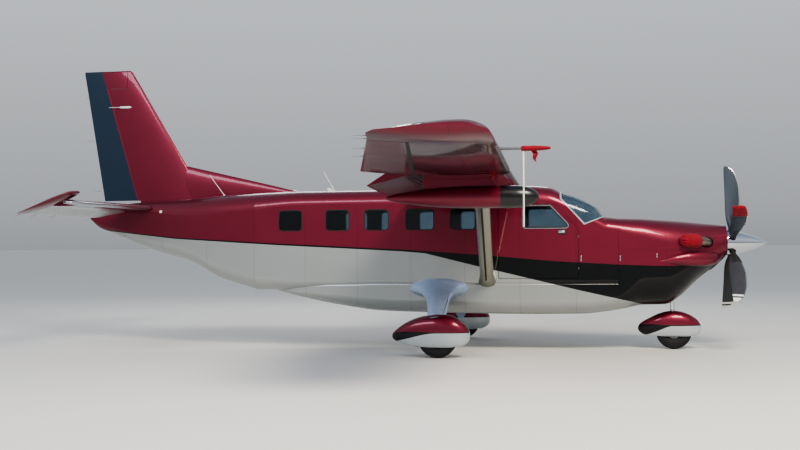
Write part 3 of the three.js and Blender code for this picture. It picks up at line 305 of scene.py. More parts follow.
def moved(obj, place):
    """A copy whose points are put through a function of an array of points in millimetres"""
    mesh = obj.data.copy()
    mesh.vertices.foreach_set("co", (place(places(mesh) / MM) * MM).ravel())
    mesh.update()
    return new_object("moved", mesh)


def same(obj):
    return obj


def mirrored(obj):
    made = moved(obj, lambda p: p * (1, -1, 1))
    made.data.flip_normals()
    return made


SIDES = (("left", same), ("right", mirrored))


def both(obj):
    return joined([obj, mirrored(obj)])


def swung(points, start, end, degrees):
    """Points turned about the line from start to end"""
    start = np.array(start, float)
    turn = Matrix.Rotation(math.radians(degrees), 3, Vector(np.array(end) - start))
    return (np.asarray(points, float) - start) @ np.array(turn).T + start


def evaluated(obj):
    """The mesh that an object's modifiers make"""
    return bpy.data.meshes.new_from_object(obj.evaluated_get(bpy.context.evaluated_depsgraph_get()))


def modified(obj, kind, **settings):
    """Applies one modifier"""
    step = obj.modifiers.new("step", kind)
    for name, value in settings.items():
        setattr(step, name, value)
    mesh = evaluated(obj)
    obj.modifiers.clear()
    obj.data = mesh
    return obj


def boolean(operation, first, others):
    """Works with the quick solver, and with the exact one where that finds nothing"""
    for solver in ("MANIFOLD", "EXACT"):
        result = new_object("solid", first.data.copy())
        for other in others:
            step = result.modifiers.new("step", "BOOLEAN")
            step.operation, step.solver, step.object = operation, solver, other
        mesh = evaluated(result)
        result.modifiers.clear()
        result.data = mesh
        if mesh.polygons:
            return result
    raise RuntimeError(f"a boolean {operation.lower()} left nothing")


def cut(first, *others):
    return boolean("DIFFERENCE", first, others)


def keep(first, *others):
    return boolean("INTERSECT", first, others)


def join(first, *others):
    return boolean("UNION", first, others)


def biggest(obj):
    """Leaves only the largest loose piece of a mesh"""
    def prune(work):
        left = set(work.faces)
        groups = []
        while left:
            group = {left.pop()}
            edge = list(group)
            while edge:
                near = {f for e in edge.pop().edges for f in e.link_faces} & left
                left -= near
                group |= near
                edge += near
            groups.append(group)
        best = max(groups, key=lambda g: sum(f.calc_area() for f in g))
        bmesh.ops.delete(work, geom=[f for g in groups if g is not best for f in g], context="FACES")

    worked(obj.data, prune)
    return obj


# Smooth surfaces

class Skin:
    """The fine surface that pieces are cut from: where it lies and its smooth outward normals"""

    def __init__(self, points, normals, closed=True):
        self.source = points, normals, closed
        self.faces = grid_faces(*points.shape[:2], closed)
        self.points = [Vector(p) for p in (points * MM).reshape(-1, 3)]
        self.normals = [Vector(n) for n in normals.reshape(-1, 3)]
        self.tree = BVHTree.FromPolygons(self.points, self.faces)

    def at(self, place, reach=0.6 * MM):
        found, _, face, _ = self.tree.find_nearest(place, reach)
        if found is None:
            return None
        corners = self.faces[face]
        weights = poly_3d_calc([self.points[i] for i in corners], found)
        return sum((self.normals[i] * w for i, w in zip(corners, weights)), Vector()).normalized()

    def depth(self, place):
        return self.tree.find_nearest(place)[3] / MM

    def on(self, flip):
        """The skin itself, or its mirror image where flip is mirrored"""
        points, normals, closed = self.source
        return self if flip is same else Skin(points * (1, -1, 1), normals * (1, -1, 1), closed)


SHARP = 0.7  # cosine of the angle at which a face leaves the smooth surface


def take_normals(mesh, skins):
    """Gives each face corner that lies on a skin that skin's smooth normal"""
    found = [[n for n in (skin.at(v.co) for skin in skins) if n] for v in mesh.vertices]
    normals = [None] * len(mesh.loops)
    for face in mesh.polygons:
        flat = face.normal
        for corner in face.loop_indices:
            options = found[mesh.loops[corner].vertex_index]
            best = max(options + [-n for n in options], key=flat.dot, default=flat)
            normals[corner] = best if best.dot(flat) > SHARP else flat
    mesh.shade_smooth()
    mesh.normals_split_custom_set(normals)


def flowing(table, at, creases=()):
    """A table's other columns at places between its rows, by monotone cubics, broken at the creases"""
    rows = np.array(sorted(table), float)
    at = np.asarray(at, float)
    if creases:
        low = flowing([r for r in table if r[0] <= creases[0]], at)
        high = flowing([r for r in table if r[0] >= creases[0]], at, creases[1:])
        return np.where((at <= creases[0])[:, None], low, high)
    x, y = rows[:, 0], rows[:, 1:]
    step = np.diff(x)[:, None]
    slope = np.diff(y, axis=0) / step
    tangent = np.concatenate([slope[:1], np.zeros_like(slope[1:]), slope[-1:]])
    near, far = 2 * step[1:] + step[:-1], step[1:] + 2 * step[:-1]
    with np.errstate(divide="ignore", invalid="ignore"):
        mean = (near + far) / (near / slope[:-1] + far / slope[1:])
    tangent[1:-1] = np.where(slope[:-1] * slope[1:] > 0, mean, 0)
    k = np.clip(np.searchsorted(x, at, side="right") - 1, 0, len(x) - 2)
    h = step[k]
    u = (at - x[k])[:, None] / h
    return (
        (2 * u**3 - 3 * u**2 + 1) * y[k] + (u**3 - 2 * u**2 + u) * h * tangent[k]
        + (3 * u**2 - 2 * u**3) * y[k + 1] + (u**3 - u**2) * h * tangent[k + 1]
    )


def stations(table, step):
    """Places along a table: its own rows and regular steps between"""
    rows = sorted(row[0] for row in table)
    return np.unique(np.concatenate([
        np.linspace(a, b, max(1, round((b - a) / step)) + 1) for a, b in zip(rows, rows[1:])
    ]))


CORNER_STEPS, FLAT_STEPS = 12, 5
TABLES = {"cabin": CABIN, "tail": TAIL, "cowl": COWL, "pod": POD}
CREASES = {"cabin": (3222,)}


def body_rings(which, inset=0, step=50, past=0):
    """Points and outward normals of a body's sections, inset from its skin, run on past both ends"""
    x = stations(TABLES[which], step)
    creases = CREASES.get(which, ())
    half, low, high, *corners = flowing(TABLES[which], x, creases).T[:, :, None]
    top_w, top_h, low_w, low_h = corners
    share = np.linspace(0, 1, CORNER_STEPS + 1)
    arcs = []
    layout = [(1, 1, top_w, top_h), (-1, 1, top_w, top_h), (-1, -1, low_w, low_h), (1, -1, low_w, low_h)]
    for quarter, (side, up, wide, tall) in enumerate(layout):
        rw, rh = np.maximum(wide - inset, 2), np.maximum(tall - inset, 2)
        a = (quarter + share) * math.pi / 2
        centre_y = side * (half - inset - rw)
        centre_z = high - inset - rh if up > 0 else low + inset + rh
        normal = np.stack([np.cos(a) / rw, np.sin(a) / rh], -1)
        normal /= np.linalg.norm(normal, axis=-1, keepdims=True)
        arcs.append((np.stack([centre_y + rw * np.cos(a), centre_z + rh * np.sin(a)], -1), normal))
    flat, facing = [], []
    between = np.linspace(0, 1, FLAT_STEPS + 1)[1:-1][None, :, None]
    for (points, normal), (after, _) in zip(arcs, arcs[1:] + arcs[:1]):
        line = points[:, -1:] * (1 - between) + after[:, :1] * between
        flat += [points, line]
        facing += [normal, np.repeat(normal[:, -1:], line.shape[1], axis=1)]
    flat, facing = np.concatenate(flat, 1), np.concatenate(facing, 1)
    slope = np.gradient(flat, x, axis=0)
    for crease in creases:
        k = int(np.argmin(abs(x - crease)))
        slope[k] = (flat[k] - flat[k - 1]) / (x[k] - x[k - 1])
    points = stacked(x[:, None], flat[..., 0], flat[..., 1])
    normals = np.concatenate([-(facing * slope).sum(-1, keepdims=True), facing], -1)
    normals /= np.linalg.norm(normals, axis=-1, keepdims=True)
    if past:
        points = np.concatenate([points[:1] - (past, 0, 0), points, points[-1:] + (past, 0, 0)])
    return points, normals


def body(which, inset=0, past=0):
    """A body inset from its skin, or with past the space inside a wall, run on past both ends"""
    return loft(body_rings(which, inset, past=past)[0])


PAST = 30  # how far the space inside a wall runs on past its ends


def wall_shell(which, outside, inside):
    return cut(body(which, outside), body(which, inside, PAST))


def body_skin(which, inset=0):
    return Skin(*body_rings(which, inset))


def side_y(which, x, z):
    """Half width of a body at a point of its side view"""
    half, low, high, top_w, top_h, low_w, low_h = flowing(TABLES[which], [x], CREASES.get(which, ()))[0]
    upper = np.clip((z - (high - top_h)) / top_h, 0, 1)
    lower = np.clip((low + low_h - z) / low_h, 0, 1)
    corner = top_w if upper > lower else low_w
    return float(half - corner * (1 - math.sqrt(1 - max(upper, lower) ** 2)))


# Wing and tail surfaces
CAMBER = 0.01
INCIDENCE = 0.03
DROOP_SHARE = 0.22
EDGE = 1.5
FOIL_STEPS = 36
TIP_STEPS = 0.3, 0.15, 0.06, 0.02, 0.004


def foil_at(sections, u, curved):
    """Middle line and half thickness of sections, at shares u of the chord from the front"""
    front, back, z, thick, droop = sections.T[:, :, None]
    chord = front - back
    form = 0.2969 * np.sqrt(u) - 0.126 * u - 0.3516 * u**2 + 0.2843 * u**3 - 0.1015 * u**4
    camber = 4 * CAMBER * u * (1 - u) + (0.5 - u) * INCIDENCE if curved else 0
    middle = z + camber * chord - droop * np.maximum(0, 1 - u / DROOP_SHARE) ** 2
    return middle, 5 * thick * form * chord + EDGE


def sections_at(table, at):
    """Rows between a table's rows, in straight lines"""
    rows = np.array(table, float)
    return np.stack([np.interp(at, rows[:, 0], rows[:, k]) for k in range(1, rows.shape[1])], 1)


def tip_sections(table, at, start):
    """As above up to where the tip starts, then rounded to its end"""
    straight = sections_at(table, at)
    tip = flowing([row for row in table if row[0] >= start], np.maximum(at, start))
    made = np.where((at > start)[:, None], tip, straight)
    last, end = table[-2][0], table[-1][0]
    made[:, 3] *= np.sqrt(1 - 0.999 * np.clip((at - last) / (end - last), 0, 1) ** 2)
    return made


def foil_rings(sections, at, curved):
    u = (1 - np.cos(np.pi * np.arange(FOIL_STEPS + 1) / FOIL_STEPS)) / 2
    middle, half = foil_at(sections, u[None, :], curved)
    x = sections[:, :1] - u * (sections[:, :1] - sections[:, 1:2])
    y = np.asarray(at, float)[:, None]
    upper, lower = stacked(x, y, middle + half), stacked(x, y, middle - half)
    return np.concatenate([upper[:, :0:-1], stacked(x, y, middle)[:, :1], lower[:, 1:]], 1)


def grid_normals(points, closed=False):
    """Smooth outward normals of a grid of points"""
    if closed:
        wrapped = np.concatenate([points[:, -1:], points, points[:, :1]], 1)
        around = (np.roll(wrapped, -1, 1) - np.roll(wrapped, 1, 1))[:, 1:-1]
    else:
        around = np.gradient(points, axis=1)
    normals = np.cross(around, np.gradient(points, axis=0))
    normals /= np.maximum(np.linalg.norm(normals, axis=-1, keepdims=True), 1e-9)
    out = points - points.mean(1, keepdims=True)
    return normals * np.sign((normals * out).sum())


def skin_of(points, closed=False):
    return Skin(points, grid_normals(points, closed))


def span_steps(table, step, round_from=None):
    """Places along the span, closer together towards a rounded tip"""
    at = stations(table, step)
    end = table[-1][0]
    return at if round_from is None else np.unique(np.append(at, end - (end - round_from) * np.array(TIP_STEPS)))


def smoothstep(x):
    x = np.clip(x, 0, 1)
    return x * x * (3 - 2 * x)


def hinged_rings(table, at, hinge, curved, bead, pitch):
    """Rings of a control surface: a round nose about its hinge line, then its skins with pressed beads"""
    sections = sections_at(table, at)
    chord = sections[:, :1] - sections[:, 1:2]
    hinge, y = np.asarray(hinge, float)[:, None], np.asarray(at, float)[:, None]
    start = (sections[:, :1] - hinge) / chord
    share = np.linspace(0, 1, 25)[None, :]
    u = start + (1 - start) * share
    middle, half = foil_at(sections, u, curved)
    wave = (0.5 - 0.5 * np.cos(2 * np.pi * y / pitch)) ** 2
    window = smoothstep((share - 0.1) / 0.08) * smoothstep((0.95 - share) / 0.06)
    half = np.maximum(half - bead * wave * window, EDGE)
    x = sections[:, :1] - u * chord
    angle = np.linspace(math.pi / 2, -math.pi / 2, 19)[1:-1][None, :]
    reach = half[:, :1]
    nose = stacked(hinge + reach * np.cos(angle), y, middle[:, :1] + reach * np.sin(angle))
    return np.concatenate([stacked(x, y, middle + half)[:, ::-1], nose, stacked(x, y, middle - half)], 1)


# Materials

def srgb(code):
    """A colour from its sRGB hex code, as the shaders take it"""
    shares = [int(code[i:i + 2], 16) / 255 for i in (1, 3, 5)]
    return [v / 12.92 if v <= 0.04045 else ((v + 0.055) / 1.055) ** 2.4 for v in shares] + [1]


def plug(tree, socket, value):
    """Links a socket to another's value, or sets its number or its hex colour"""
    if isinstance(value, bpy.types.NodeSocket):
        tree.links.new(value, socket)
    else:
        socket.default_value = srgb(value) if isinstance(value, str) else value


def add_node(tree, kind, inputs=(), out=0, **settings):
    """Adds a node with its settings and its inputs, by place or by name; gives an output, or the node for None"""
    node = tree.nodes.new("ShaderNode" + kind)
    for name, value in settings.items():
        setattr(node, name, value)
    for name, value in inputs.items() if isinstance(inputs, dict) else enumerate(inputs):
        plug(tree, node.inputs[name], value)
    return node if out is None else node.outputs[out]


class Finish:
    """A material being made: its tree, its surface and its place in the plane's frame"""

    def __init__(self, name, **values):
        self.material = bpy.data.materials.new(name)
        self.material.use_nodes = True
        self.tree = self.material.node_tree
        self.surface = self.tree.nodes["Principled BSDF"]
        self.place = self.add("TexCoord", out="Object")
        self.set(**values)

    def add(self, kind, inputs=(), out=0, **settings):
        return add_node(self.tree, kind, inputs, out, **settings)

    def set(self, **values):
        """Sets sockets of the surface, named as in coat_weight, and gives the material"""
        for key, value in values.items():
            plug(self.tree, self.surface.inputs[key.replace("_", " ").title().replace("Ior", "IOR")], value)
        return self.material

    def grains(self, size, detail, *ranges, stretch=None):
        """Grains about size millimetres wide: their raw height, then that height spread over each range"""
        place = self.place
        if stretch:
            place = self.add("VectorMath", (place, stretch), operation="MULTIPLY")
        raw = self.add("TexNoise", {"Vector": place, "Scale": 1 / (size * MM), "Detail": detail})
        return [raw] + [self.add("MapRange", (raw, *row)) for row in ranges]

    def close(self, colour, other, share, roughness, height, depth, strength):
        """Ends a material: two colours by a share, its roughness, and its relief, depth millimetres deep"""
        colours = self.add("Mix", {0: share, 6: colour, 7: other}, 2, data_type="RGBA")
        normal = self.add("Bump", {"Height": height, "Distance": depth * MM, "Strength": strength})
        return self.set(base_color=colours, roughness=roughness, normal=normal)


# Paint lines on the side, x and height: the red ends above the black band, the silver below it
RED_LINE = [
    (-5640, 2030), (-5200, 1970), (-3954, 1840), (-2080, 1729), (-10, 1620), (1218, 1533), (2416, 1426),
    (3427, 1365), (4045, 1343), (5200, 1341),
]
BLACK_LINE = [
    (-5640, 2018), (-5200, 1956), (-3954, 1820), (-2080, 1702), (-10, 1591), (394, 1556), (1216, 1351),
    (1820, 1208), (2810, 969), (3580, 794), (3950, 700), (4300, 400),
]
MAIN_RED_LINE = [(0, 368), (55, 374), (240, 396), (430, 399), (620, 395), (800, 391), (1224, 388)]
MAIN_BLACK_LINE = [
    (0, 228), (124, 256), (237, 284), (331, 308), (426, 333), (520, 355), (614, 371), (700, 378), (1224, 380)
]
NOSE_RED_LINE = [(3730, 396), (3784, 399), (3935, 401), (4092, 395), (4248, 391), (4740, 390)]
NOSE_BLACK_LINE = [
    (3730, 190), (3850, 226), (3935, 252), (4014, 284), (4092, 316), (4170, 350), (4248, 374), (4740, 380)
]
RED = "#782436"
RED_DEEP = "#38131e"
BLACK = "#07080a"
# The pearl silver is darkened in part as painted shade of the body's lower side
PEARL_DARKENED_AS_SHADE = "#a4a8a6"
PANT_PEARL = "#c2cacc"
# The rudder's dark paint, its slate blue a painted reflection of the sky
SLATE_WITH_PAINTED_SKY = "#2a3a4b"
PAINT_EDGE = 1.5 * MM
FADE = (0.3, 0.7)


def candy(finish):
    """Red under clear lacquer: deeper where it is seen at a slant, with fine flakes"""
    slant = finish.add("LayerWeight", {"Blend": 0.4}, "Facing")
    flakes = finish.grains(1.5, 0, (0.35, 0.65, -0.05, 0.05))[1]
    share = finish.add("Math", (slant, flakes), operation="ADD")
    return finish.add("Mix", {0: share, 6: RED, 7: RED_DEEP}, 2, data_type="RGBA")


def side_height(finish, along, line):
    """The height of a line of the side view, at each place along it"""
    xs, zs = np.array(line).T * MM
    low, high = zs.min(), zs.max()
    share = finish.add("MapRange", (along, xs[0], xs[-1]))
    node = finish.add("FloatCurve", {"Value": share}, None)
    curve = node.mapping.curves[0]
    first, *between, last = zip((xs - xs[0]) / (xs[-1] - xs[0]), (zs - low) / (high - low))
    curve.points[0].location, curve.points[1].location = first, last
    for place in between:
        curve.points.new(*place)
    for point in curve.points:
        point.handle_type = "VECTOR"
    node.mapping.update()
    return finish.add("MapRange", (node.outputs[0], 0, 1, low, high))


def seam_marks(finish, value, other, pitch, offset):
    """Lines every so many millimetres, each with a fainter row of rivets 12 mm beside it, 28 mm apart"""
    add = finish.add
    moved_on = add("Math", (value, offset * MM), operation="SUBTRACT")
    apart = add("Math", (moved_on, pitch / 2 * MM), operation="PINGPONG")
    beside = add("Math", (apart, 12 * MM), operation="SUBTRACT")
    next_one = add("Math", (other, 14 * MM), operation="PINGPONG")
    far = add("VectorMath", (add("CombineXYZ", (beside, next_one)),), "Value", operation="LENGTH")
    line = add("MapRange", (apart, 1.1 * MM, 2.0 * MM, 1, 0))
    rivet = add("MapRange", (far, 2.2 * MM, 2.9 * MM, 0.35, 0))
    return add("Math", (line, rivet), operation="MAXIMUM")


def livery(name, split=None, whole=None, seams=(), parted=None, pearl=PEARL_DARKENED_AS_SHADE):
    """Aircraft lacquer: one colour, or red over black over pearl silver split along two lines of the side"""
    finish = Finish(name, coat_weight=1.0, coat_roughness=0.03, coat_ior=1.32, specular_ior_level=0.15)
    add = finish.add
    at = dict(zip("xyz", add("SeparateXYZ", (finish.place,), None).outputs))
    dirt, dull = finish.grains(420, 4, (*FADE, 0.3, 0.38))
    if whole:
        faded = add("MapRange", (dirt, *FADE, 0, 0.12))
        colour, shine = add("Mix", {0: faded, 6: whole, 7: "#000000"}, 2, data_type="RGBA"), 0.4
    else:
        colour, shine = candy(finish), 0.5
    if split:
        over_red, over_black = [
            add("MapRange", (add("Math", (at["z"], side_height(finish, at["x"], line)), operation="SUBTRACT"),
                             -PAINT_EDGE, PAINT_EDGE))
            for line in split
        ]
        lower = add("Mix", {0: over_black, 6: pearl, 7: BLACK}, 2, data_type="RGBA")
        colour = add("Mix", {0: over_red, 6: lower, 7: colour}, 2, data_type="RGBA")
        # The black has no metal flakes
        below_red = add("Math", (1.0, over_red), operation="SUBTRACT")
        shine = add("MapRange", (add("Math", (over_black, below_red), operation="MULTIPLY"), 0, 1, 0.5, 0))
    if parted:
        other, low, high = parted
        slope = (high[0] - low[0]) / (high[1] - low[1])
        line = add("Math", (at["z"], slope, (low[0] - low[1] * slope) * MM), operation="MULTIPLY_ADD")
        ahead = add("MapRange", (add("Math", (at["x"], line), operation="SUBTRACT"), -PAINT_EDGE, PAINT_EDGE))
        colour = add("Mix", {0: ahead, 6: other, 7: colour}, 2, data_type="RGBA")
    # The sheet under the paint waves by a fraction of a millimetre, seen only in reflections
    normal = add("Bump", {"Height": finish.grains(260, 2)[0], "Distance": 0.35 * MM, "Strength": 0.5})
    if seams:
        marks = 0.0
        for value, beside, pitch, offset in seams:
            row = seam_marks(finish, at[value], at[beside], pitch, offset)
            marks = add("Math", (marks, row), operation="MAXIMUM")
        dark, sunk = (add("MapRange", (marks, 0, 1, *ends)) for ends in ((0, 0.55), (1, 0)))
        colour = add("Mix", {0: dark, 6: colour, 7: "#050303"}, 2, data_type="RGBA")
        normal = add("Bump", {"Height": sunk, "Distance": 0.8 * MM, "Strength": 0.6, "Normal": normal})
    return finish.set(base_color=colour, metallic=shine, roughness=dull, normal=normal)


def surfaced(name, colour, other, patch, rough, grain, depth, strength, fine=False, stretch=None, **values):
    """A material with worn patches, an uneven gloss and a fine relief.

    patch is its size in mm, detail, low and high of the noise, and the most that shows of the other colour;
    grain is its size in mm and detail; the gloss varies with the patches, or with the grain where fine is set
    """
    finish = Finish(name, **values)
    size, detail, low, high, share = patch
    gloss = (*FADE, *rough)
    _, worn, *by_patch = finish.grains(size, detail, (low, high, 0, share), *([] if fine else [gloss]))
    height, *by_grain = finish.grains(*grain, *([gloss] if fine else []), stretch=stretch)
    return finish.close(colour, other, worn, (by_patch or by_grain)[0], height, depth, strength)


def metal(name, colour, rough, grain, stretch=None, spread=0.06, tarnish="#6b6660"):
    """Bare metal with a fine grain and a little tarnish"""
    return surfaced(name, colour, tarnish, (90, 4, 0.45, 0.8, 0.25), (rough - spread / 2, rough + spread / 2),
                    (grain, 2), 0.02, 0.3, True, stretch, metallic=1.0)


def painted(name, colour, rough, coat, depth=0.03, metallic=0.0):
    """Enamel on metal, with a faint orange peel"""
    return surfaced(name, colour, "#1a1a1a", (60, 4, 0.4, 0.8, 0.14), (rough - 0.05, rough + 0.05), (0.9, 2), depth,
                    0.4, metallic=metallic, coat_weight=coat, coat_roughness=0.08)


def plastic(name, colour, rough=0.6, grain=0.8, depth=0.08):
    """Moulded plastic or rubber with a fine texture"""
    return surfaced(name, colour, "#2b2b2b", (35, 4, 0.4, 0.8, 0.3), (rough - 0.06, rough + 0.06), (grain, 3),
                    depth, 0.5, True)


def cloth(name, colour, thread, fade="#8d8d8d", sheen=0.25):
    """Woven cloth: crossing threads so many millimetres wide, and a little fading"""
    finish = Finish(name, sheen_weight=sheen, sheen_roughness=0.5)
    add = finish.add
    x, y, z = add("SeparateXYZ", (finish.place,), None).outputs
    turns = 2 * math.pi / (thread * MM)
    warp, weft = [
        add("Math", (add("Math", (add("Math", (way, y), operation="ADD"), turns), operation="MULTIPLY"),),
            operation="SINE")
        for way in (x, z)
    ]
    worn = finish.grains(70, 4, (0.35, 0.75, 0, 0.25))[1]
    return finish.close(colour, fade, worn, 0.9, add("Math", (warp, weft), operation="MULTIPLY"), 0.12, 0.5)


def glazing(name, colour, rough=0.0):
    """Acrylic sheet, lightly tinted, with faint waves from its forming"""
    finish = Finish(name, transmission_weight=1.0, ior=1.45)
    tint = finish.grains(200, 2, (*FADE, 0, 0.1))[1]
    return finish.close(colour, "#ffffff", tint, rough, finish.grains(700, 0)[0], 0.25, 0.4)


def leather(name, colour):
    """Leather: a pebbled grain of about three millimetres and worn edges"""
    finish = Finish(name, coat_weight=0.12, coat_roughness=0.3)
    pebbles = finish.add("TexVoronoi", {"Vector": finish.place, "Scale": 1 / (3 * MM)}, "Distance")
    _, worn, rough = finish.grains(80, 4, (0.4, 0.8, 0, 0.3), (*FADE, 0.42, 0.55))
    return finish.close(colour, "#4a4036", worn, rough, pebbles, 0.25, 0.4)


BLADE_BAND, BLADE_TIP, MARK_EDGE = (1097, 1133), 1163, 1


def blade_enamel(name, colour, other, marked=False):
    """Blade enamel, on the marked face with a white tip and a white band inside it"""
    finish = Finish(name, coat_weight=0.08, coat_roughness=0.3, specular_ior_level=0.3)
    add = finish.add
    _, worn, rough = finish.grains(60, 4, (0.4, 0.8, 0, 0.3), (*FADE, 0.5, 0.6))
    if marked:
        across = add("VectorMath", (finish.place, (0, 0, PROP_AXIS * MM)), operation="SUBTRACT")
        across = add("VectorMath", (across, (0, 1, 1)), operation="MULTIPLY")
        out = add("VectorMath", (across,), "Value", operation="LENGTH")
        after_start, after_end, tip = [
            add("MapRange", (out, (at - MARK_EDGE) * MM, (at + MARK_EDGE) * MM)) for at in (*BLADE_BAND, BLADE_TIP)
        ]
        band = add("Math", (after_start, after_end), operation="SUBTRACT")
        white = add("Math", (band, tip), operation="ADD")
        colour = add("Mix", {0: worn, 6: colour, 7: other}, 2, data_type="RGBA")
        worn, other = white, "#dcdcd8"
    return finish.close(colour, other, worn, rough, finish.grains(1.2, 2)[0], 0.03, 0.4)


BODY_LINES = (RED_LINE, BLACK_LINE)
# The body's lacquer: candy red, gloss black and pearl silver, with a riveted lap joint every 870 mm
PAINT = livery("aircraft_livery", BODY_LINES, seams=[("x", "z", 870, -2450)])
COWL_PAINT = livery("cowl_livery", BODY_LINES, seams=[("x", "z", 730, 3420)])
MAIN_PANT_PAINT = livery("pant_livery_main", (MAIN_RED_LINE, MAIN_BLACK_LINE), pearl=PANT_PEARL)
NOSE_PANT_PAINT = livery("pant_livery_nose", (NOSE_RED_LINE, NOSE_BLACK_LINE), pearl=PANT_PEARL)
# The red lacquer alone on the fairings, and with the rivet rows of ribs and spars on the wings and the fin
RED_PAINT = livery("candy_red_lacquer")
WING_PAINT = livery("wing_red_lacquer", seams=[("y", "x", 610, 720), ("x", "y", 900, 640)])
FIN_PAINT = livery("fin_red_lacquer", seams=[("z", "x", 640, 2600)])
CONTROL_PAINT = livery("control_red_lacquer")
# Rudder of dark paint tinted slate blue, the blue a painted reflection of the sky, with its red horn, and the pearl
# silver of the elevators
RUDDER_PAINT = livery("rudder_lacquer", parted=(SLATE_WITH_PAINTED_SKY, (-4754, 2488), (-5328, 4452)))
SILVER_PAINT = livery("pearl_silver_lacquer", whole=PEARL_DARKENED_AS_SHADE)
# Black gloss shell of the radar dome, which shows one soft highlight
RADOME = painted("black_radome_enamel", "#030304", 0.34, 0.3)
# Sprayed steel spring legs: pale blue silver, soft gloss
LEG_ENAMEL = painted("silver_blue_leg_enamel", "#a8bcd6", 0.4, 0.4, 0.01, 0.45)
# Sprayed castings and rims, brighter, with more gloss
GEAR_PAINT = painted("silver_gear_enamel", "#c4c9ce", 0.28, 0.5, metallic=0.6)
# Aerials and small fittings, and the windshield's frame: plain gloss enamel
WHITE_PAINT = painted("white_enamel", "#e6e6e2", 0.3, 0.5)
FRAME_ENAMEL = painted("grey_frame_enamel", "#a4a9ae", 0.3, 0.5)
# Spun and buffed spinner: a mirror with the studio in it
CHROME = metal("polished_aluminium", "#cdd1d6", 0.045, 0.4, spread=0.02, tarnish="#a9adb3")
# Struts of drawn tube: long blurred streaks, warm grey
STRUT_POLISH = metal("polished_strut_skin", "#a3a498", 0.26, 0.6, (12, 1, 1), tarnish="#a5a698")
# Brushed levers, frames and edge strips: streaks along x
BRUSHED = metal("brushed_aluminium", "#b9bdc2", 0.28, 0.7, (1, 12, 12), 0.12)
# Leading edge panels: matt grey, closely grained
TITANIUM = metal("porous_titanium_panel", "#8b8f94", 0.42, 0.9, spread=0.1)
# Exhausts and pins: steel browned by heat
STEEL = metal("heat_stained_steel", "#8f8578", 0.3, 0.8, spread=0.14, tarnish="#5a4636")
# Blade edges: plated, warm and bright
NICKEL = metal("nickel_erosion_strip", "#d9d4c8", 0.16, 0.5)
# Cast and finned metal in the cowl: dull, coarse
ENGINE_METAL = metal("cast_engine_metal", "#6f7173", 0.5, 1.2, spread=0.1)
COOLER_METAL = metal("finned_cooler_metal", "#3b3d3f", 0.5, 3.0, (1, 30, 1), 0.2)
# Blades: slate backs, and darker grey faces with the white marks
BLADE_PAINT = blade_enamel("slate_blade_enamel", "#2c3744", "#3e4b5a")
BLADE_FACE = blade_enamel("grey_blade_face_enamel", "#33353a", "#484a4e", True)
# Tyres: matt and coarse; seals and boots: soft black; cabin mouldings: dark with a fine leather grain
RUBBER = plastic("tyre_rubber", "#101012", 0.72, 1.4, 0.15)
SEAL = plastic("black_rubber_seal", "#0d0d0f")
PANEL_PLASTIC = plastic("dark_cabin_plastic", "#1c1d20", 0.55)
TRIM = plastic("grey_cabin_lining", "#4d5054", grain=1.6)
# Looped wool floor covering, and the faded red canvas of the covers and tags
CARPET = cloth("wool_carpet", "#3a3f47", 3.0)
COVER_CLOTH = cloth("red_cover_cloth", "#86081a", 1.4, "#4a030c", 0.05)
# Seat hide: tan, pebbled, satin
LEATHER = leather("tan_leather", "#8b6f52")
# Windows of clear acrylic, a little blue, and frosted lamp lenses
GLASS = glazing("cabin_acrylic", "#a3b8c4", 0.08)
LAMP_GLASS = glazing("clear_lamp_lens", "#f4f6f8", 0.05)
# Displays that are on: near black glass with a faint blue glow in broad bands
SCREEN = Finish("display_glass", roughness=0.08, coat_weight=1.0, emission_strength=0.5)
_, lit, glow = SCREEN.grains(70, 2, (0.4, 0.7), (0.35, 0.65))
SCREEN = SCREEN.set(
    base_color=SCREEN.add("Mix", {0: lit, 6: "#05070a", 7: "#0d1a2b"}, 2, data_type="RGBA"),
    emission_color=SCREEN.add("Mix", {0: glow, 6: "#020406", 7: "#14324f"}, 2, data_type="RGBA"))


# Pieces

def dress(obj, name, rides, finish, skins=(), angle=35, replaces="", parted=None):
    """Gives a piece its name, finish, normals and body; parted is a second finish and the test of its faces"""
    obj.name = obj.data.name = name
    mesh = obj.data
    mesh.validate()
    mesh.materials.clear()
    mesh.materials.append(finish)
    mesh.polygons.foreach_set("material_index", [0] * len(mesh.polygons))
    if parted:
        mesh.materials.append(parted[0])
        for face in mesh.polygons:
            face.material_index = int(parted[1](face))
    if skins:
        take_normals(mesh, skins)
    else:
        mesh.shade_smooth()
        mesh.set_sharp_from_angle(angle=math.radians(angle))
    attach(obj, rides)
    if replaces:
        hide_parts(*replaces.split())


def inset_outline(points, by):
    """An outline moved inwards"""
    points = [Vector(p) for p in points]
    after = points[1:] + points[:1]
    area = sum(a.x * b.y - b.x * a.y for a, b in zip(points, after))
    sign = by if area > 0 else -by
    made = []
    for before, point, following in zip(points[-1:] + points, points, after):
        u, v = (point - before).normalized(), (following - point).normalized()
        nu, nv = Vector((-u.y, u.x)) * sign, Vector((-v.y, v.x)) * sign
        bend = u.cross(v)
        along = ((nv.x - nu.x) * v.y - (nv.y - nu.y) * v.x) / bend if abs(bend) > 1e-6 else 0
        made.append(tuple(point + nu + u * along))
    return made


def rounded(points, radius, steps):
    """An outline with its corners rounded"""
    made = []
    for i, point in enumerate(points):
        a, b, c = Vector(points[i - 1]), Vector(points[(i + 1) % len(points)]), Vector(point)
        u, v = (a - c).normalized(), (b - c).normalized()
        reach = radius / math.tan(u.angle(v) / 2)
        for t in np.arange(steps + 1) / steps:
            made.append(tuple((1 - t) ** 2 * (c + u * reach) + 2 * t * (1 - t) * c + t**2 * (c + v * reach)))
    return made


def rectangle(x0, x1, z0, z1):
    return [(x0, z0), (x1, z0), (x1, z1), (x0, z1)]


ALL_ACROSS = (-BEYOND, BEYOND)
REACH = {"right": (-BEYOND, -300), "left": (300, BEYOND)}


def through(outline, across=ALL_ACROSS):
    """An outline of the side view pushed across the plane"""
    return prism("y", outline, *across)


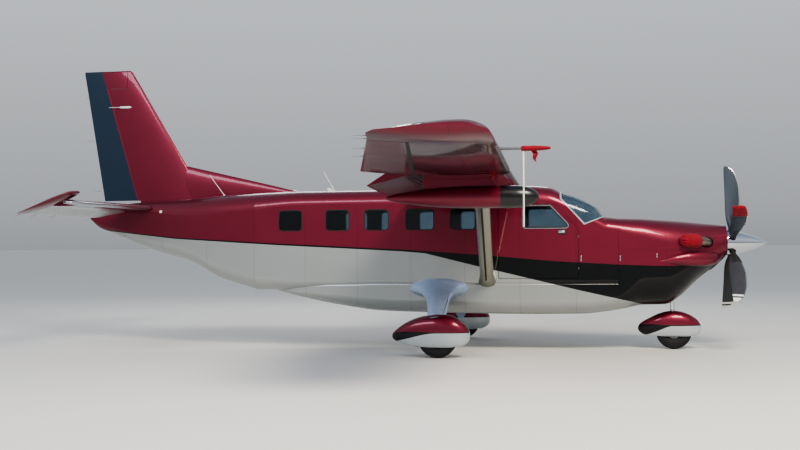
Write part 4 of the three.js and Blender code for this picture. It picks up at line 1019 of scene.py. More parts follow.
# Cabin walls and doors: painted outside, lined inside
cabin_skin, lining_skin = body_skin("cabin"), body_skin("cabin", WALL)
cabin_skins = [cabin_skin, lining_skin]
cabin_shell = wall_shell("cabin", 0, WALL)
window_outlines = [rounded(rectangle(x0, x1, SILL, HEAD), 70, 8) for x0, x1 in WINDOWS]
crew_pane = rounded(CREW_WINDOW, 45, 6)


def cargo_room(low, high):
    return rectangle(CARGO_DOOR["back"], CARGO_DOOR["front"], CARGO_DOOR[low], CARGO_DOOR[high])


def panel(obj, name, rides, replaces):
    """Dresses a piece of the cabin's wall, with the lining on its inner face"""
    lined = (TRIM, lambda face: cabin_skin.depth(face.center) > 0.6 * WALL)
    dress(obj, name, rides, PAINT, cabin_skins, replaces=replaces, parted=lined)


WALL_REGION = [
    (CABIN_AFT, FLOOR_SPLIT + GAP), (FIREWALL, FLOOR_SPLIT + GAP), (FIREWALL, SHIELD["corner"][1]),
    SHIELD["corner"], (2584, ROOF_SPLIT), (CABIN_AFT, ROOF_SPLIT),
]
# The left wall has the cargo door, whose upper half holds the second and the third window
IN_WALL = {"right": (0, 1, 2, 3, 4), "left": (0, 3, 4)}
IN_CARGO = (1, 2)
for side, reach in REACH.items():
    blank = keep(cabin_shell, through(WALL_REGION, (min(reach[0], 0), max(reach[1], 0))))
    outlines = [CREW_DOOR] + [window_outlines[i] for i in IN_WALL[side]]
    if side == "left":
        outlines.append(cargo_room("low", "high"))
    wall = biggest(cut(blank, *[through(outline, reach) for outline in outlines]))
    panel(wall, "cabin_side_" + side, "airframe", "side_wall_" + side)
    door = cut(keep(cabin_shell, through(inset_outline(CREW_DOOR, CLEAR), reach)), through(crew_pane, reach))
    panel(door, "crew_door_panel_" + side, "crew_door_" + side, "crew_door_" + side)
for half, low, high, held in (("upper", "split", "high", IN_CARGO), ("lower", "low", "split", ())):
    door = keep(cabin_shell, through(inset_outline(cargo_room(low, high), CLEAR), REACH["left"]))
    if held:
        door = cut(door, *[through(window_outlines[i], REACH["left"]) for i in held])
    panel(door, f"cargo_{half}_panel", f"cargo_door_{half}", f"cargo_door_{half}")

# Panes, their rubber seals and the crew windows' alloy frames: bands that follow the skin
side_panes = wall_shell("cabin", PANE_DEPTH, PANE_DEPTH + PANE)
pane_skins = [body_skin("cabin", PANE_DEPTH), body_skin("cabin", PANE_DEPTH + PANE)]
SEAL_LIFT, FRAME_LIFT = 1.2, 2.5
seal_shell = wall_shell("cabin", -SEAL_LIFT, PANE_DEPTH - 1)
frame_shell = wall_shell("cabin", -FRAME_LIFT, 3)


def band(shell, outline, outer, inner, reach):
    """The band of a shell between an outline grown by outer and the same outline shrunk by inner"""
    ring = keep(shell, through(inset_outline(outline, -outer), reach))
    return cut(ring, through(inset_outline(outline, inner), (reach[0] - 50, reach[1] + 50)))


PANES = [
    ("right", IN_WALL["right"], "panes_right", "airframe", "glazing_right", "window_right_seals"),
    ("left", IN_WALL["left"], "panes_left", "airframe", "glazing_left_front glazing_left_rear",
     "window_left_seals"),
    ("left", IN_CARGO, "panes_cargo", "cargo_door_upper", "cargo_door_glass", "cargo_window_seals"),
    ("right", (), "crew_pane_right", "crew_door_right", "crew_door_glass_right", "crew_window_seal_right"),
    ("left", (), "crew_pane_left", "crew_door_left", "crew_door_glass_left", "crew_window_seal_left"),
]
for side, held, name, rides, replaces, seal_name in PANES:
    outlines = [window_outlines[i] for i in held] or [crew_pane]
    seal_width = (7, 9) if held else (4, 12)
    panes = joined([keep(side_panes, through(inset_outline(o, GAP), REACH[side])) for o in outlines])
    dress(panes, name, rides, GLASS, pane_skins, replaces=replaces)
    seals = joined([band(seal_shell, o, *seal_width, REACH[side]) for o in outlines])
    dress(seals, seal_name, rides, SEAL, [body_skin("cabin", -SEAL_LIFT)])
    if not held:
        dress(band(frame_shell, crew_pane, 17, -4, REACH[side]), "crew_window_frame_" + side, rides, BRUSHED,
              [body_skin("cabin", -FRAME_LIFT)])

# Windshield: two crowned panes in a thin pale frame, with a centre post
BULGE = 72
BULGE_WAY = np.array([0.54, 0, 0.84])
corner, base, side_top, top = (SHIELD[key] for key in ("corner", "base", "side", "top"))


def edge_distance(x, z, start, end):
    """How far a point lies to the left of a line seen from the side"""
    (x0, z0), (x1, z1) = start, end
    return ((x1 - x0) * (z - z0) - (z1 - z0) * (x - x0)) / math.hypot(x1 - x0, z1 - z0)


def bulged(inset, past=0):
    """The cabin's sections with the windshield pushed out between its edges"""
    points = body_rings("cabin", inset, 25, past)[0]
    x, _, z = np.moveaxis(points, -1, 0)
    over = np.maximum(edge_distance(x, z, corner, base), z - base[1])
    ahead = edge_distance(x, z, side_top, corner)
    share = smoothstep(over / 170) * smoothstep(ahead / 240) * smoothstep((x - top[0] - 10) / 220)
    return points + share[..., None] * BULGE * BULGE_WAY


def shield_shell(outside, inside):
    return cut(loft(bulged(outside)), loft(bulged(inside, PAST)))


def shield_skins(*insets):
    return [skin_of(bulged(inset), True) for inset in insets]


SHIELD_REGION = [
    (corner[0] + GAP, corner[1] + GAP), (base[0] + GAP, base[1] + GAP), (FIREWALL, base[1] + GAP),
    (FIREWALL, top[1]), (top[0] + GAP, top[1]), (side_top[0] + GAP, side_top[1] + GAP),
]
dress(keep(shield_shell(0, PANE), through(SHIELD_REGION)), "windshield_panes", "airframe", GLASS,
      shield_skins(0, PANE), replaces="windshield")
FRAME_DEEP = PANE + 8
opening = [
    (corner[0] + 9, corner[1] + 27), (base[0] - 4, base[1] + 12), (FIREWALL, base[1] + 12),
    (FIREWALL, top[1]), (top[0] + 24, top[1]), (side_top[0] + 24, side_top[1] + 6),
]
shell = shield_shell(-FRAME_LIFT, FRAME_DEEP)
rim = cut(keep(shell, through(SHIELD_REGION)), through(opening, (-1000, 1000)))
post = keep(shell, through(SHIELD_REGION, (-12, 12)))
dress(join(rim, post), "windshield_frame", "airframe", FRAME_ENAMEL, shield_skins(-FRAME_LIFT, FRAME_DEEP))

# Rubber stops behind the door gaps, fixed to the walls inside
stop_shell = cut(body("cabin", WALL + 1, PAST), body("cabin", WALL + 9, PAST))
for side, reach in REACH.items():
    outlines = [CREW_DOOR] + ([cargo_room("low", "high")] if side == "left" else [])
    dress(joined([band(stop_shell, outline, 18, 22, reach) for outline in outlines]), "door_stops_" + side,
          "airframe", SEAL, angle=40)

# Lower tub with the firewall and the deck
DECK_TOP = 2300
floor_part = keep(cabin_shell, through(rectangle(CABIN_AFT, FIREWALL, BODY_LOW - WALL, FLOOR_SPLIT)))
deck = keep(cabin_shell, through([
    (corner[0] + 1, corner[1] + GAP), (FIREWALL, corner[1] + GAP), (FIREWALL, DECK_TOP), (base[0], DECK_TOP),
    (base[0], base[1] - GAP),
]))
firewall = keep(box((FIREWALL - 30, FIREWALL), ALL_ACROSS, (BODY_LOW, DECK_TOP)), body("cabin", WALL + GAP))
firewall_strip = keep(box((FIREWALL - 29, FIREWALL - 1), (-500, 500), (BODY_LOW, DECK_TOP)),
                      body("cabin", WALL / 2))
plate = box((-2410, -2110), (-420, 420), (BODY_LOW + WALL - 10, BODY_LOW + WALL + 6))
panel(join(floor_part, deck, firewall, firewall_strip, plate), "cabin_tub", "airframe", "cabin_lower")

# Roof with the wing's centre section
roof = keep(cabin_shell, through([
    (CABIN_AFT, ROOF_SPLIT + GAP), (2583, ROOF_SPLIT + GAP), side_top, top, (CABIN_AFT, top[1]),
]))
centre_at = np.array([-WING_ROOT, -480.0, -240, 0, 240, 480, WING_ROOT])
centre_points = foil_rings(sections_at(WING_IN, abs(centre_at)), centre_at, True)
roof = join(roof, loft(centre_points))
dress(roof, "cabin_top", "airframe", PAINT, [cabin_skin, skin_of(centre_points), lining_skin],
      replaces="cabin_roof")

# Tail cone and belly pod
for which, name, slot, replaces in (("tail", "tail_body", "red_paint", "tail_cone"),
                                    ("pod", "cargo_pod_shell", "silver_paint", "belly_pod")):
    dress(body(which), name, "airframe", PAINT, [body_skin(which)], replaces=replaces)


# Hinge lines: two ends, each a point on the sections' middle line and the half thickness there
def half_and_middle(table, y, x, curved):
    """Middle height and half thickness of a table's section at one place"""
    row = sections_at(table, np.array([y]))
    share = (row[0, 0] - x) / (row[0, 0] - row[0, 1])
    return [float(v[0, 0]) for v in foil_at(row, np.array([[share]]), curved)]


def hinge_line(table, surface, curved):
    """The line through the sections' middle between a control surface's ends"""
    made = []
    for y, x in zip((surface["inner"], surface["outer"]), surface["hinge"]):
        middle, half = half_and_middle(table, y, x, curved)
        made.append((np.array([x, y, middle]), half))
    return made


def along_line(line, share):
    (a, ra), (b, rb) = line
    return a + (b - a) * share, ra + (rb - ra) * share


def line_ends(line, more):
    """A hinge line's ends, run on by more millimetres"""
    length = np.linalg.norm(line[1][0] - line[0][0])
    return along_line(line, -more / length), along_line(line, 1 + more / length)


def with_barrel(room, line, more, clear):
    """A control surface's room and the round space about its hinge line, run on past both ends"""
    (low, r_low), (high, r_high) = line_ends(line, more)
    return join(room, rod(low, high, r_low + clear, r_high + clear, 40))


ROOM_BACK = -300


def behind(line, more, clear):
    """The room of a wing's control surface behind its hinge line"""
    (low, _), (high, _) = line_ends(line, more)
    outline = [(low[0], low[1]), (high[0], high[1]), (ROOM_BACK, high[1]), (ROOM_BACK, low[1])]
    return with_barrel(prism("z", outline, *WING_HEIGHTS), line, more, clear)


# Wings
flap_line = hinge_line(WING_IN, FLAP, True)
aileron_ends = hinge_line(WING_OUT, {**AILERON, "inner": WING_CUFF_AT}, True)
share_in = (AILERON["inner"] - WING_CUFF_AT) / (AILERON["outer"] - WING_CUFF_AT)
aileron_line = [along_line(aileron_ends, share_in), aileron_ends[1]]
inner_at = span_steps(WING_IN[1:], 260)
inner_at[0] += GAP
inner_points = foil_rings(sections_at(WING_IN, inner_at), inner_at, True)
outer_at = span_steps(WING_OUT, 200, 6800)
outer_points = foil_rings(tip_sections(WING_OUT, outer_at, 6600), outer_at, True)
wing_skins = [skin_of(points) for points in (inner_points, outer_points)]
wing_blank = join(loft(inner_points), loft(outer_points))
wing = biggest(cut(wing_blank, behind(flap_line, FLAP["clear"], FLAP["clear"]),
                   behind(aileron_line, AILERON["clear"], CLEAR)))


def beaded(table, line, bead, pitch):
    """A control surface along its hinge line"""
    (a, _), (b, _) = line
    at = np.append(np.arange(a[1], b[1], pitch / 6), b[1])
    hinge = np.interp(at, [a[1], b[1]], [a[0], b[0]])
    return hinged_rings(table, at, hinge, True, bead, pitch)


flap_points = swung(beaded(WING_IN, flap_line, 4, 62), flap_line[1][0], flap_line[0][0], FLAP_REST)
# The aileron's inner end lies inside the inner wing, where the outer wing's sections are run on
slope = (np.array(WING_OUT[1]) - np.array(WING_OUT[0])) / (WING_OUT[1][0] - WING_OUT[0][0])
first_row = np.array(WING_OUT[0]) + slope * (AILERON["inner"] - 10 - WING_OUT[0][0])
aileron_points = beaded([tuple(first_row), *WING_OUT[1:]], aileron_line, 4.5, 56)
AILERON_NOSE = 22


def in_painted_gap_shade(face):
    """The aileron's nose, given the black seal finish where it shows in the gap behind the wing: painted shade for the
    dark gap
    """
    (a, _), (b, _) = aileron_line
    hinge = np.interp(abs(face.center.y) / MM, [a[1], b[1]], [a[0], b[0]])
    return face.center.x / MM > hinge - AILERON_NOSE


# The wing's faces cut inside its skin, at the coves before the flaps and ailerons, take the black seal finish: painted
# shade in the gaps
for side, flip in SIDES:
    skins = [skin.on(flip) for skin in wing_skins]
    dress(flip(wing), "wing_skin_" + side, "airframe", WING_PAINT, skins,
          replaces="wing_" + side, parted=(SEAL, lambda face: min(s.depth(face.center) for s in skins) > 4))
    for what, points, parted in (("flap_", flap_points, None), ("aileron_", aileron_points, (SEAL, in_painted_gap_shade))):
        dress(flip(loft(points)), what + "skin_" + side, what + side, CONTROL_PAINT,
              replaces=what + side, angle=50, parted=parted)

# Stabilizer and elevators, whose tips are horns ahead of the hinge
half_at = span_steps(STABILIZER, 290, 3060)
tail_at = np.concatenate([-half_at[:0:-1], half_at])
tail_points = foil_rings(tip_sections(STABILIZER, abs(tail_at), 3060), tail_at, False)
elevator_line = hinge_line(STABILIZER, ELEVATOR, False)
ELEVATOR_HINGE = ELEVATOR["hinge"][0]


def elevator_plan(grow):
    """The elevator and its horn from above, cut at a slant beside the rudder"""
    inside, horn, front, back, past = ELEVATOR["inner"] - grow, ELEVATOR["outer"] - grow, -4200, -5600, 3150
    return prism("z", [(ELEVATOR_HINGE, inside), (ELEVATOR_HINGE, horn), (front, horn), (front, past),
                       (back, past), (back, 485 - grow)], *WING_HEIGHTS)


def elevator_room(grow):
    return with_barrel(elevator_plan(grow), elevator_line, grow, grow)


def drooped(points):
    """Points of the elevators at their place in the photo"""
    return swung(points, elevator_line[1][0], elevator_line[0][0], ELEVATOR_REST)


tail_blank = loft(tail_points)
tail_plane = cut(tail_blank, elevator_room(CLEAR), mirrored(elevator_room(CLEAR)),
                 box((-5600, -4930), (-420, 420), WING_HEIGHTS))
dress(biggest(tail_plane), "tail_plane", "airframe", WING_PAINT, [skin_of(tail_points)],
      replaces="stabilizer")
beads_at = np.arange(ELEVATOR["inner"], ELEVATOR["outer"] - 20, 62 / 6)
bead_points = hinged_rings(STABILIZER, beads_at, np.full(len(beads_at), ELEVATOR_HINGE), False, 4, 62)
elevator_main = moved(keep(loft(bead_points), elevator_plan(0)), drooped)
horn_only = keep(keep(tail_blank, elevator_room(0)), box((-5700, -4100), (beads_at[-1], 3200), WING_HEIGHTS))
horn_only = moved(horn_only, drooped)
for side, flip in SIDES:
    dress(flip(elevator_main), "elevator_skin_" + side, "elevator", SILVER_PAINT,
          replaces="elevator_" + side, angle=50)
    dress(flip(horn_only), "elevator_horn_" + side, "elevator", RED_PAINT, angle=40)

# Fin and rudder, whose top is a horn ahead of the hinge. Their sections are worked out lying down
fin_at = span_steps([(r[0],) for r in FIN], 200, 4740)
fin_points = foil_rings(tip_sections(FIN, fin_at, 4740), fin_at, False)[..., [0, 2, 1]]
fin_skin = skin_of(fin_points)
fin_blank = loft(fin_points)
rudder_line = [
    (np.array([x, 0.0, z]), half_and_middle(FIN, z, x, False)[1])
    for z, x in zip((RUDDER["inner"], RUDDER["horn"]), RUDDER["hinge"])
]
TAIL_END = -5900


def rudder_room(grow):
    low, high = RUDDER["inner"] - grow, RUDDER["horn"] - grow
    front, past = RUDDER["horn_front"] + grow, 3 + grow / 2
    room = through([
        (RUDDER["hinge"][0] + past, low), (RUDDER["hinge"][1] + past, high), (front, high), (front, 4900),
        (TAIL_END, 4900), (TAIL_END, low),
    ], (-300, 300))
    return with_barrel(room, rudder_line, grow, grow)


below_rudder = box((TAIL_END, RUDDER["hinge"][0] + 60), (-300, 300), (2000, RUDDER["inner"]))
dress(biggest(cut(fin_blank, rudder_room(CLEAR), below_rudder)), "fin_skin", "airframe", FIN_PAINT, [fin_skin],
      replaces="fin")
dress(biggest(cut(keep(fin_blank, rudder_room(0)), below_rudder)), "rudder_skin", "rudder", RUDDER_PAINT,
      [fin_skin], replaces="rudder")

# Dorsal fillet: a ridge in front of the fin
RIDGE = [(-4060, 3078), (-3870, 3078), (-3400, 2968), (-2600, 2780), (-1760, 2578)]
DORSAL_FOOT = 2500
ridge_x = np.linspace(-1760, -4060, 40)[:, None]
ridge_top = np.interp(ridge_x, *zip(*RIDGE))
ridge_half = np.interp(ridge_x, [-3525, -1760], [70, 24])
up_share = np.array([0, 0.15, 0.3, 0.45, 0.6, 0.72, 0.82, 0.9, 0.95, 0.98, 0.995])[None, :]
flank = stacked(ridge_x, ridge_half * (1 - up_share**3) ** 0.7, DORSAL_FOOT + (ridge_top - DORSAL_FOOT) * up_share)
dorsal_points = np.concatenate([flank * (1, -1, 1), stacked(ridge_x, 0, ridge_top), flank[:, ::-1]], 1)
dress(loft(dorsal_points), "dorsal_fillet", "airframe", RED_PAINT, angle=50)

# Cowl, with its cheeks, chin inlet and exhaust openings. Cheek: x, height, half its height, how far it reaches
CHEEK = [
    (5015, 1457, 8, 262), (4900, 1452, 84, 425), (4680, 1448, 118, 542), (4500, 1446, 114, 590),
    (4300, 1436, 90, 610), (4120, 1412, 56, 604), (3950, 1398, 34, 604),
]
CHEEK_ROOT, CHEEK_TIP, CHEEK_NOSE = 150, 5015, 115
ENGINE_AXIS = (0, 0, PROP_AXIS)
near_tip = CHEEK_TIP - CHEEK_NOSE * np.array([0.8, 0.5, 0.3, 0.15, 0.06, 0.02, 0]) ** 1.4
cheek_x = np.unique(np.append(stations(CHEEK, 40)[:-2], near_tip))
cheek_z, cheek_tall, cheek_out = flowing(CHEEK, cheek_x).T[:, :, None]
cheek_x = cheek_x[:, None]
nose = np.clip((cheek_x - CHEEK_TIP + CHEEK_NOSE) / CHEEK_NOSE, 0, 1)
cheek_tall = np.where(nose > 0, 8 + 76 * np.sqrt(1 - nose**2), cheek_tall)
turn = circle(56)[None, :]
share = np.where(np.cos(turn) < -0.4, 0.2, 1 + 0.18 * (np.cos(turn) - 1))
cheek_points = stacked(cheek_x, CHEEK_ROOT + (cheek_out - CHEEK_ROOT) * share, cheek_z + cheek_tall * np.sin(turn))
cheek = loft(cheek_points)
cheek_skin = skin_of(cheek_points, True)

EXHAUST = {"radius": 76, "wall": 6, "clear": 10}
EXHAUST_PATH = [(4800, 240.6, 1700), (4800, 345, 1700), (4725, 462, 1716), (4600, 528, 1728), (4430, 560, 1732)]


def curved(path, steps=8):
    """A smooth path through points"""
    pts = [Vector(p) for p in path]
    ends = [2 * pts[0] - pts[1], *pts, 2 * pts[-1] - pts[-2]]
    return [
        0.5 * (2 * p1 + (p2 - p0) * t + (2 * p0 - 5 * p1 + 4 * p2 - p3) * t**2 + (3 * p1 - p0 - 3 * p2 + p3) * t**3)
        for p0, p1, p2, p3 in zip(ends, ends[1:], ends[2:], ends[3:])
        for t in (k / steps for k in range(steps))
    ] + [pts[-1]]


def cowl_body(inset, past=0, last=None):
    """The cowl inset from its skin, with the rings up to last"""
    return loft(body_rings("cowl", inset, past=past)[0][:last])


exhaust_line = curved(EXHAUST_PATH)
opening_radius = EXHAUST["radius"] + EXHAUST["clear"]
exhaust_hole = tube(exhaust_line, opening_radius, 40)
CHIN = [(5130, 1560), (5062, 1455), (4905, 1290), (4800, 1100), (5300, 1100), (5300, 1560)]
cowl_shell = cut(
    join(body("cowl"), cheek, mirrored(cheek)), cowl_body(SKIN, PAST, -2), exhaust_hole, mirrored(exhaust_hole),
    rod((5000, 0, PROP_AXIS), (5200, 0, PROP_AXIS), 95, sides=48), rod((4280, 0, 600), (4280, 0, 900), 75, sides=40),
)
cowl_shell = cut(cowl_shell, through(CHIN))
cowl_skins = [body_skin("cowl"), cheek_skin, cheek_skin.on(mirrored)]
for name, heights, slot, replaces in (("cowl_top_shell", (COWL_SPLIT + 1.5, 2300), "cowl_paint", "cowl_upper"),
                                      ("cowl_bottom_shell", (0, COWL_SPLIT), "black_paint", "cowl_lower")):
    dress(biggest(keep(cowl_shell, box((3000, 5400), ALL_ACROSS, heights))), name, "airframe", COWL_PAINT,
          cowl_skins, replaces=replaces)

# Lip of the chin inlet, its cooler behind, and rims of the exhaust openings
chin_edge = CHIN[:4]


def chin_strip(front, back):
    """A strip behind the chin inlet's edge, between two steps back and up from it"""
    return through([(x - front[0], z + front[1]) for x, z in chin_edge]
                   + [(x - back[0], z + back[1]) for x, z in chin_edge[::-1]])


lip_shell = cut(cowl_body(-3), cowl_body(SKIN + 10, PAST, -1))
dress(keep(lip_shell, chin_strip((0, 0), (30, 4))), "chin_inlet_lip", "airframe", SEAL, [body_skin("cowl", -3)])
dress(keep(cowl_body(SKIN + 1), chin_strip((120, 16), (170, 20))), "oil_cooler", "airframe", COOLER_METAL, angle=30)
collar = tube([p for p in exhaust_line if p.y > 470], opening_radius + 2, 40)
shroud = keep(cut(collar, tube(exhaust_line, opening_radius - 1, 40)), cowl_body(-4))
dress(both(shroud), "exhaust_shrouds", "airframe", STEEL, angle=40)

# Engine and exhaust pipes
CASE = [
    (FIREWALL + GAP, 0), (FIREWALL + GAP, 214), (3640, 222), (3660, 238), (3700, 238), (3716, 226), (4180, 226),
    (4200, 240), (4230, 240), (4250, 228), (4560, 220), (4700, 238), (4760, 238), (4800, 200), (4900, 178),
    (4936, 150), (4950, 70), (5084, 70), (5084, 0),
]
engine_parts = [turned(CASE, "x", ENGINE_AXIS)]
for a in circle(14):
    y, z = math.cos(a), math.sin(a)
    engine_parts += [
        rod((4190, 228 * y, PROP_AXIS + 228 * z), (4240, 228 * y, PROP_AXIS + 228 * z), 9, sides=6),
        rod((3720, 232 * y, PROP_AXIS + 232 * z), (4180, 232 * y, PROP_AXIS + 232 * z), 5, sides=8),
    ]
dress(joined(engine_parts), "turbine_case", "airframe", ENGINE_METAL, replaces="engine")
first, last = exhaust_line[:2], exhaust_line[-2:]
bore_line = [2 * first[0] - first[1], *exhaust_line, 2 * last[1] - last[0]]
pipe = cut(tube(exhaust_line, EXHAUST["radius"], 48), tube(bore_line, EXHAUST["radius"] - EXHAUST["wall"], 48))
outlet_way = (last[1] - last[0]).normalized()
bead = ring_body([
    [last[1] - outlet_way * back + Matrix.Rotation(a, 3, outlet_way) @ Vector((0, 0, EXHAUST["radius"] + out))
     for out, back in ((-1, 14), (3.5, 8), (-1, 2))]
    for a in circle(48)
])
for side, flip in SIDES:
    dress(flip(joined([pipe, bead])), "exhaust_pipe_" + side, "airframe", STEEL,
          replaces="exhaust_" + side, angle=45)

# Propeller blades: distance out, chord, thickness, how far the chord lies ahead, twist in degrees
BLADE = [
    (95.3, 84, 84, 0, 0), (225, 84, 84, 0, 0), (330, 150, 56, 4, 16), (480, 214, 38, 18, 12),
    (690, 246, 26, 36, 6), (900, 236, 18, 30, 0), (1080, 190, 12, 4, -4), (1190, 124, 8, -28, -6),
    (PROP_RADIUS, 36, 5, -62, -7),
]
BLADE_ANGLES = [-8 + 72 * k for k in range(5)]


def blade_rings(radii, grow=0, arc=circle(44)):
    """Rings of a blade, or of a sleeve round a part of it"""
    chord, thick, ahead, turn = flowing(BLADE, radii).T[:, :, None]
    a, out = arc[None, :], np.asarray(radii, float)[:, None]
    lens = 1 - 0.22 * np.clip((out - 225) / 105, 0, 1) * np.abs(np.cos(a)) ** 3
    x = ahead + (chord / 2 + grow) * np.cos(a)
    y = (thick / 2 * lens + grow) * np.sin(a)
    t = np.radians(turn)
    return stacked(PROP_PLANE + x * np.cos(t) - y * np.sin(t), x * np.sin(t) + y * np.cos(t), PROP_AXIS + out)


def patch(radii, arc, grow):
    """A thin strip laid on the blade's leading edge"""
    return loft(np.concatenate([blade_rings(radii, grow, arc), blade_rings(radii, -0.4, arc)[:, ::-1]], 1))


def propped(points, angle):
    """Points turned about the propeller's axis"""
    return swung(points, ENGINE_AXIS, (1, 0, PROP_AXIS), angle)


radii = np.unique(np.append(stations(BLADE, 26), PROP_RADIUS - 50 * np.array([0.7, 0.45, 0.25, 0.12, 0.05, 0.015])))
blade = loft(blade_rings(radii))
edge_strip = patch(np.linspace(470, 1216, 30), np.linspace(-0.62, 0.62, 13), 0.7)
root_boot = patch(np.linspace(212, 440, 10), np.linspace(-1.9, 1.9, 25), 1.6)
for k, angle in enumerate(BLADE_ANGLES, 1):
    name = f"blade_{k}"
    across = Vector(propped((0, 1, PROP_AXIS), angle) - ENGINE_AXIS)
    in_front = (BLADE_FACE, lambda face: face.normal.dot(across) > 0)
    collar = rod(*[propped((PROP_PLANE, 0, PROP_AXIS + r), angle) for r in (95.3, 168)], 47, sides=40)
    dress(moved(blade, lambda p: propped(p, angle)), "prop_" + name, "propeller", BLADE_PAINT,
          replaces=name, angle=60, parted=in_front)
    for what, part, finish in (("edge_strip_", edge_strip, NICKEL), ("root_boot_", root_boot, SEAL)):
        dress(moved(part, lambda p: propped(p, angle)), what + name, "propeller", finish, angle=60)
    dress(collar, "root_collar_" + name, "propeller", ENGINE_METAL)

HUB = [
    (5084.3, 0), (5084.3, 55), (5119, 55), (5119, 196), (5120, 198), (5124, 198), (5125, 196), (5125, 95),
    (5296, 95), (5300, 91), (5300, 0),
]
dress(turned(HUB, "x", ENGINE_AXIS, 96), "propeller_centre", "propeller", STEEL,
      replaces="propeller_hub")
SPINNER_FOOT, SPINNER_RADIUS, SPINNER_WALL, SPINNER_SIDES = 5125.3, 205, 8, 128
u = 1 - (1 - np.arange(40) / 40) ** 1.6
spinner_x = SPINNER_FOOT + (NOSE_TIP - SPINNER_FOOT) * u
spinner_r = SPINNER_RADIUS * (1 - u**1.55) ** 0.9
outside = [(SPINNER_FOOT, 0), *zip(spinner_x, spinner_r), (NOSE_TIP, 0)]
inside = [(5000, 0), (5000, 190), *[(x, max(0, r - SPINNER_WALL)) for x, r in zip(spinner_x, spinner_r) if r > 20],
          (5700, 0)]
root_hole = rod((PROP_PLANE, 0, PROP_AXIS + 120), (PROP_PLANE, 0, PROP_AXIS + 260), 54, sides=48)
spinner = cut(turned(outside, "x", ENGINE_AXIS, SPINNER_SIDES), turned(inside, "x", ENGINE_AXIS, 96),
              *[moved(root_hole, lambda p: propped(p, a)) for a in BLADE_ANGLES])
around, spinner_r = circle(SPINNER_SIDES)[None, :], spinner_r[:, None]
spin_skin = skin_of(stacked(spinner_x[:, None], spinner_r * np.cos(around), PROP_AXIS + spinner_r * np.sin(around)),
                    True)
dress(spinner, "spinner_shell", "propeller", CHROME, [spin_skin], replaces="spinner")
screws = []
for a in circle(20) + math.pi / 20:
    ends = [(5141, r * math.cos(a), PROP_AXIS + r * math.sin(a)) for r in (201.5, 205.7)]
    screws.append(rod(*ends, 5, sides=12))
dress(joined(screws), "spinner_screws", "propeller", STEEL)

# Landing gear. Main leg: x, y, z of its middle line, half its chord and its thickness, tilt in degrees
MAIN = {"x": 720, "y": 1730, "z": 297.43, "radius": 297.4, "half": 115, "rim": 128, "bore": 29, "hub": 84}
NOSE = {"x": 4300, "y": 0, "z": 277.6, "radius": 277.6, "half": 80, "rim": 105, "bore": 21, "hub": 62}
NOSE_LEG_X = 4280
LEG = [
    (620, 560, 1000, 560, 170, 90), (615, 745, 995, 480, 160, 84), (615, 850, 968, 352, 112, 74),
    (625, 960, 925, 258, 80, 66), (650, 1120, 850, 196, 62, 60), (664, 1300, 735, 160, 52, 52),
    (676, 1470, 590, 140, 44, 46), (700, 1548, 470, 96, 26, 30), (716, 1572, 300, 50, 18, 10),
]
SLIT = [(768, 640), (776, 640), (818, 850), (810, 850)]


def leg_rings(grow=0, low=0.0, high=8.0, steps=57):
    """Rings of the leg between two of its rows, grown all round"""
    rows = [(i, *row) for i, row in enumerate(LEG)]
    x, y, z, chord, thick, tilt = flowing(rows, np.linspace(low, high, steps)).T[:, :, None]
    a = circle(56)[None, :]
    across = (thick + grow) * np.sin(a)
    t = np.radians(tilt)
    return stacked(x + (chord + grow) * np.cos(a), y + across * np.cos(t), z + across * np.sin(t))


def axle(low, high, radius):
    return rod((MAIN["x"], low, MAIN["z"]), (MAIN["x"], high, MAIN["z"]), radius)


leg_skin = skin_of(leg_rings(), True)
leg = biggest(cut(loft(leg_rings()), body("cabin", -GAP)))
slit = keep(loft(leg_rings(1.2, 2.4, 6.6, 34)), through(SLIT, (900, 1650)))
for side, flip in SIDES:
    dress(flip(leg), "leg_fairing_" + side, "airframe", LEG_ENAMEL, [leg_skin.on(flip)],
          replaces="main_leg_" + side)
    dress(flip(axle(1560, 1846, 27)), "axle_" + side, "airframe", STEEL)
    dress(flip(slit), "leg_slit_" + side, "airframe", SEAL)


def powered(values, power):
    """Signed powers, which turn a circle squarer"""
    return np.sign(values) * np.abs(values) ** power


def oval_points(table, y):
    """Rings of a wheel pant: ovals above, squarer below where the sides reach down over the tyre"""
    x = stations(table, 30)
    half, low, high = flowing(table, x).T[:, :, None]
    a = circle(56)[None, :]
    power = np.where(np.sin(a) < 0, 0.86 - 0.34 * np.clip((half - 60) / 80, 0, 1), 0.86)
    return stacked(x[:, None], y + half * powered(np.cos(a), power),
                   (low + high) / 2 + (high - low) / 2 * powered(np.sin(a), power))


# Wheel pants: x, half width, bottom and top
MAIN_PANT = [
    (30, 4, 316, 324), (34, 18, 298, 346), (49, 40, 276, 374), (87, 68, 250, 412), (143, 96, 229, 458),
    (237, 128, 199, 522), (332, 150, 172, 569), (426, 165, 156, 603), (520, 177, 148, 627), (614, 185, 144, 641),
    (709, 188, 143, 650), (803, 188, 143, 650), (897, 184, 146, 640), (991, 174, 156, 608), (1086, 150, 180, 551),
    (1142, 124, 205, 502), (1180, 94, 238, 448), (1202, 60, 275, 400), (1209, 30, 304, 362), (1211, 6, 328, 338),
]
NOSE_PANT = [
    (3738, 4, 328, 336), (3742, 16, 308, 356), (3755, 34, 284, 384), (3779, 52, 258, 412), (3826, 74, 232, 446),
    (3935, 106, 208, 506), (4014, 124, 201, 545), (4092, 138, 198, 577), (4170, 147, 196, 600),
    (4295, 152, 195, 614), (4405, 150, 195, 603), (4499, 140, 197, 574), (4561, 128, 200, 546),
    (4639, 104, 216, 494), (4686, 80, 244, 448), (4715, 52, 280, 400), (4727, 28, 310, 368), (4731, 6, 334, 342),
]


def arch(half, shoulder, high, slope):
    """The fork's outline from ahead, or the room for it: two legs that slope in above the shoulder"""
    return [(-half, 238), (-half, shoulder), (slope - half, high), (half - slope, high), (half, shoulder), (half, 238)]


def wheel_well(at, reach, radius):
    return rod((at["x"], at["y"] - reach, at["z"]), (at["x"], at["y"] + reach, at["z"]), radius, sides=72)


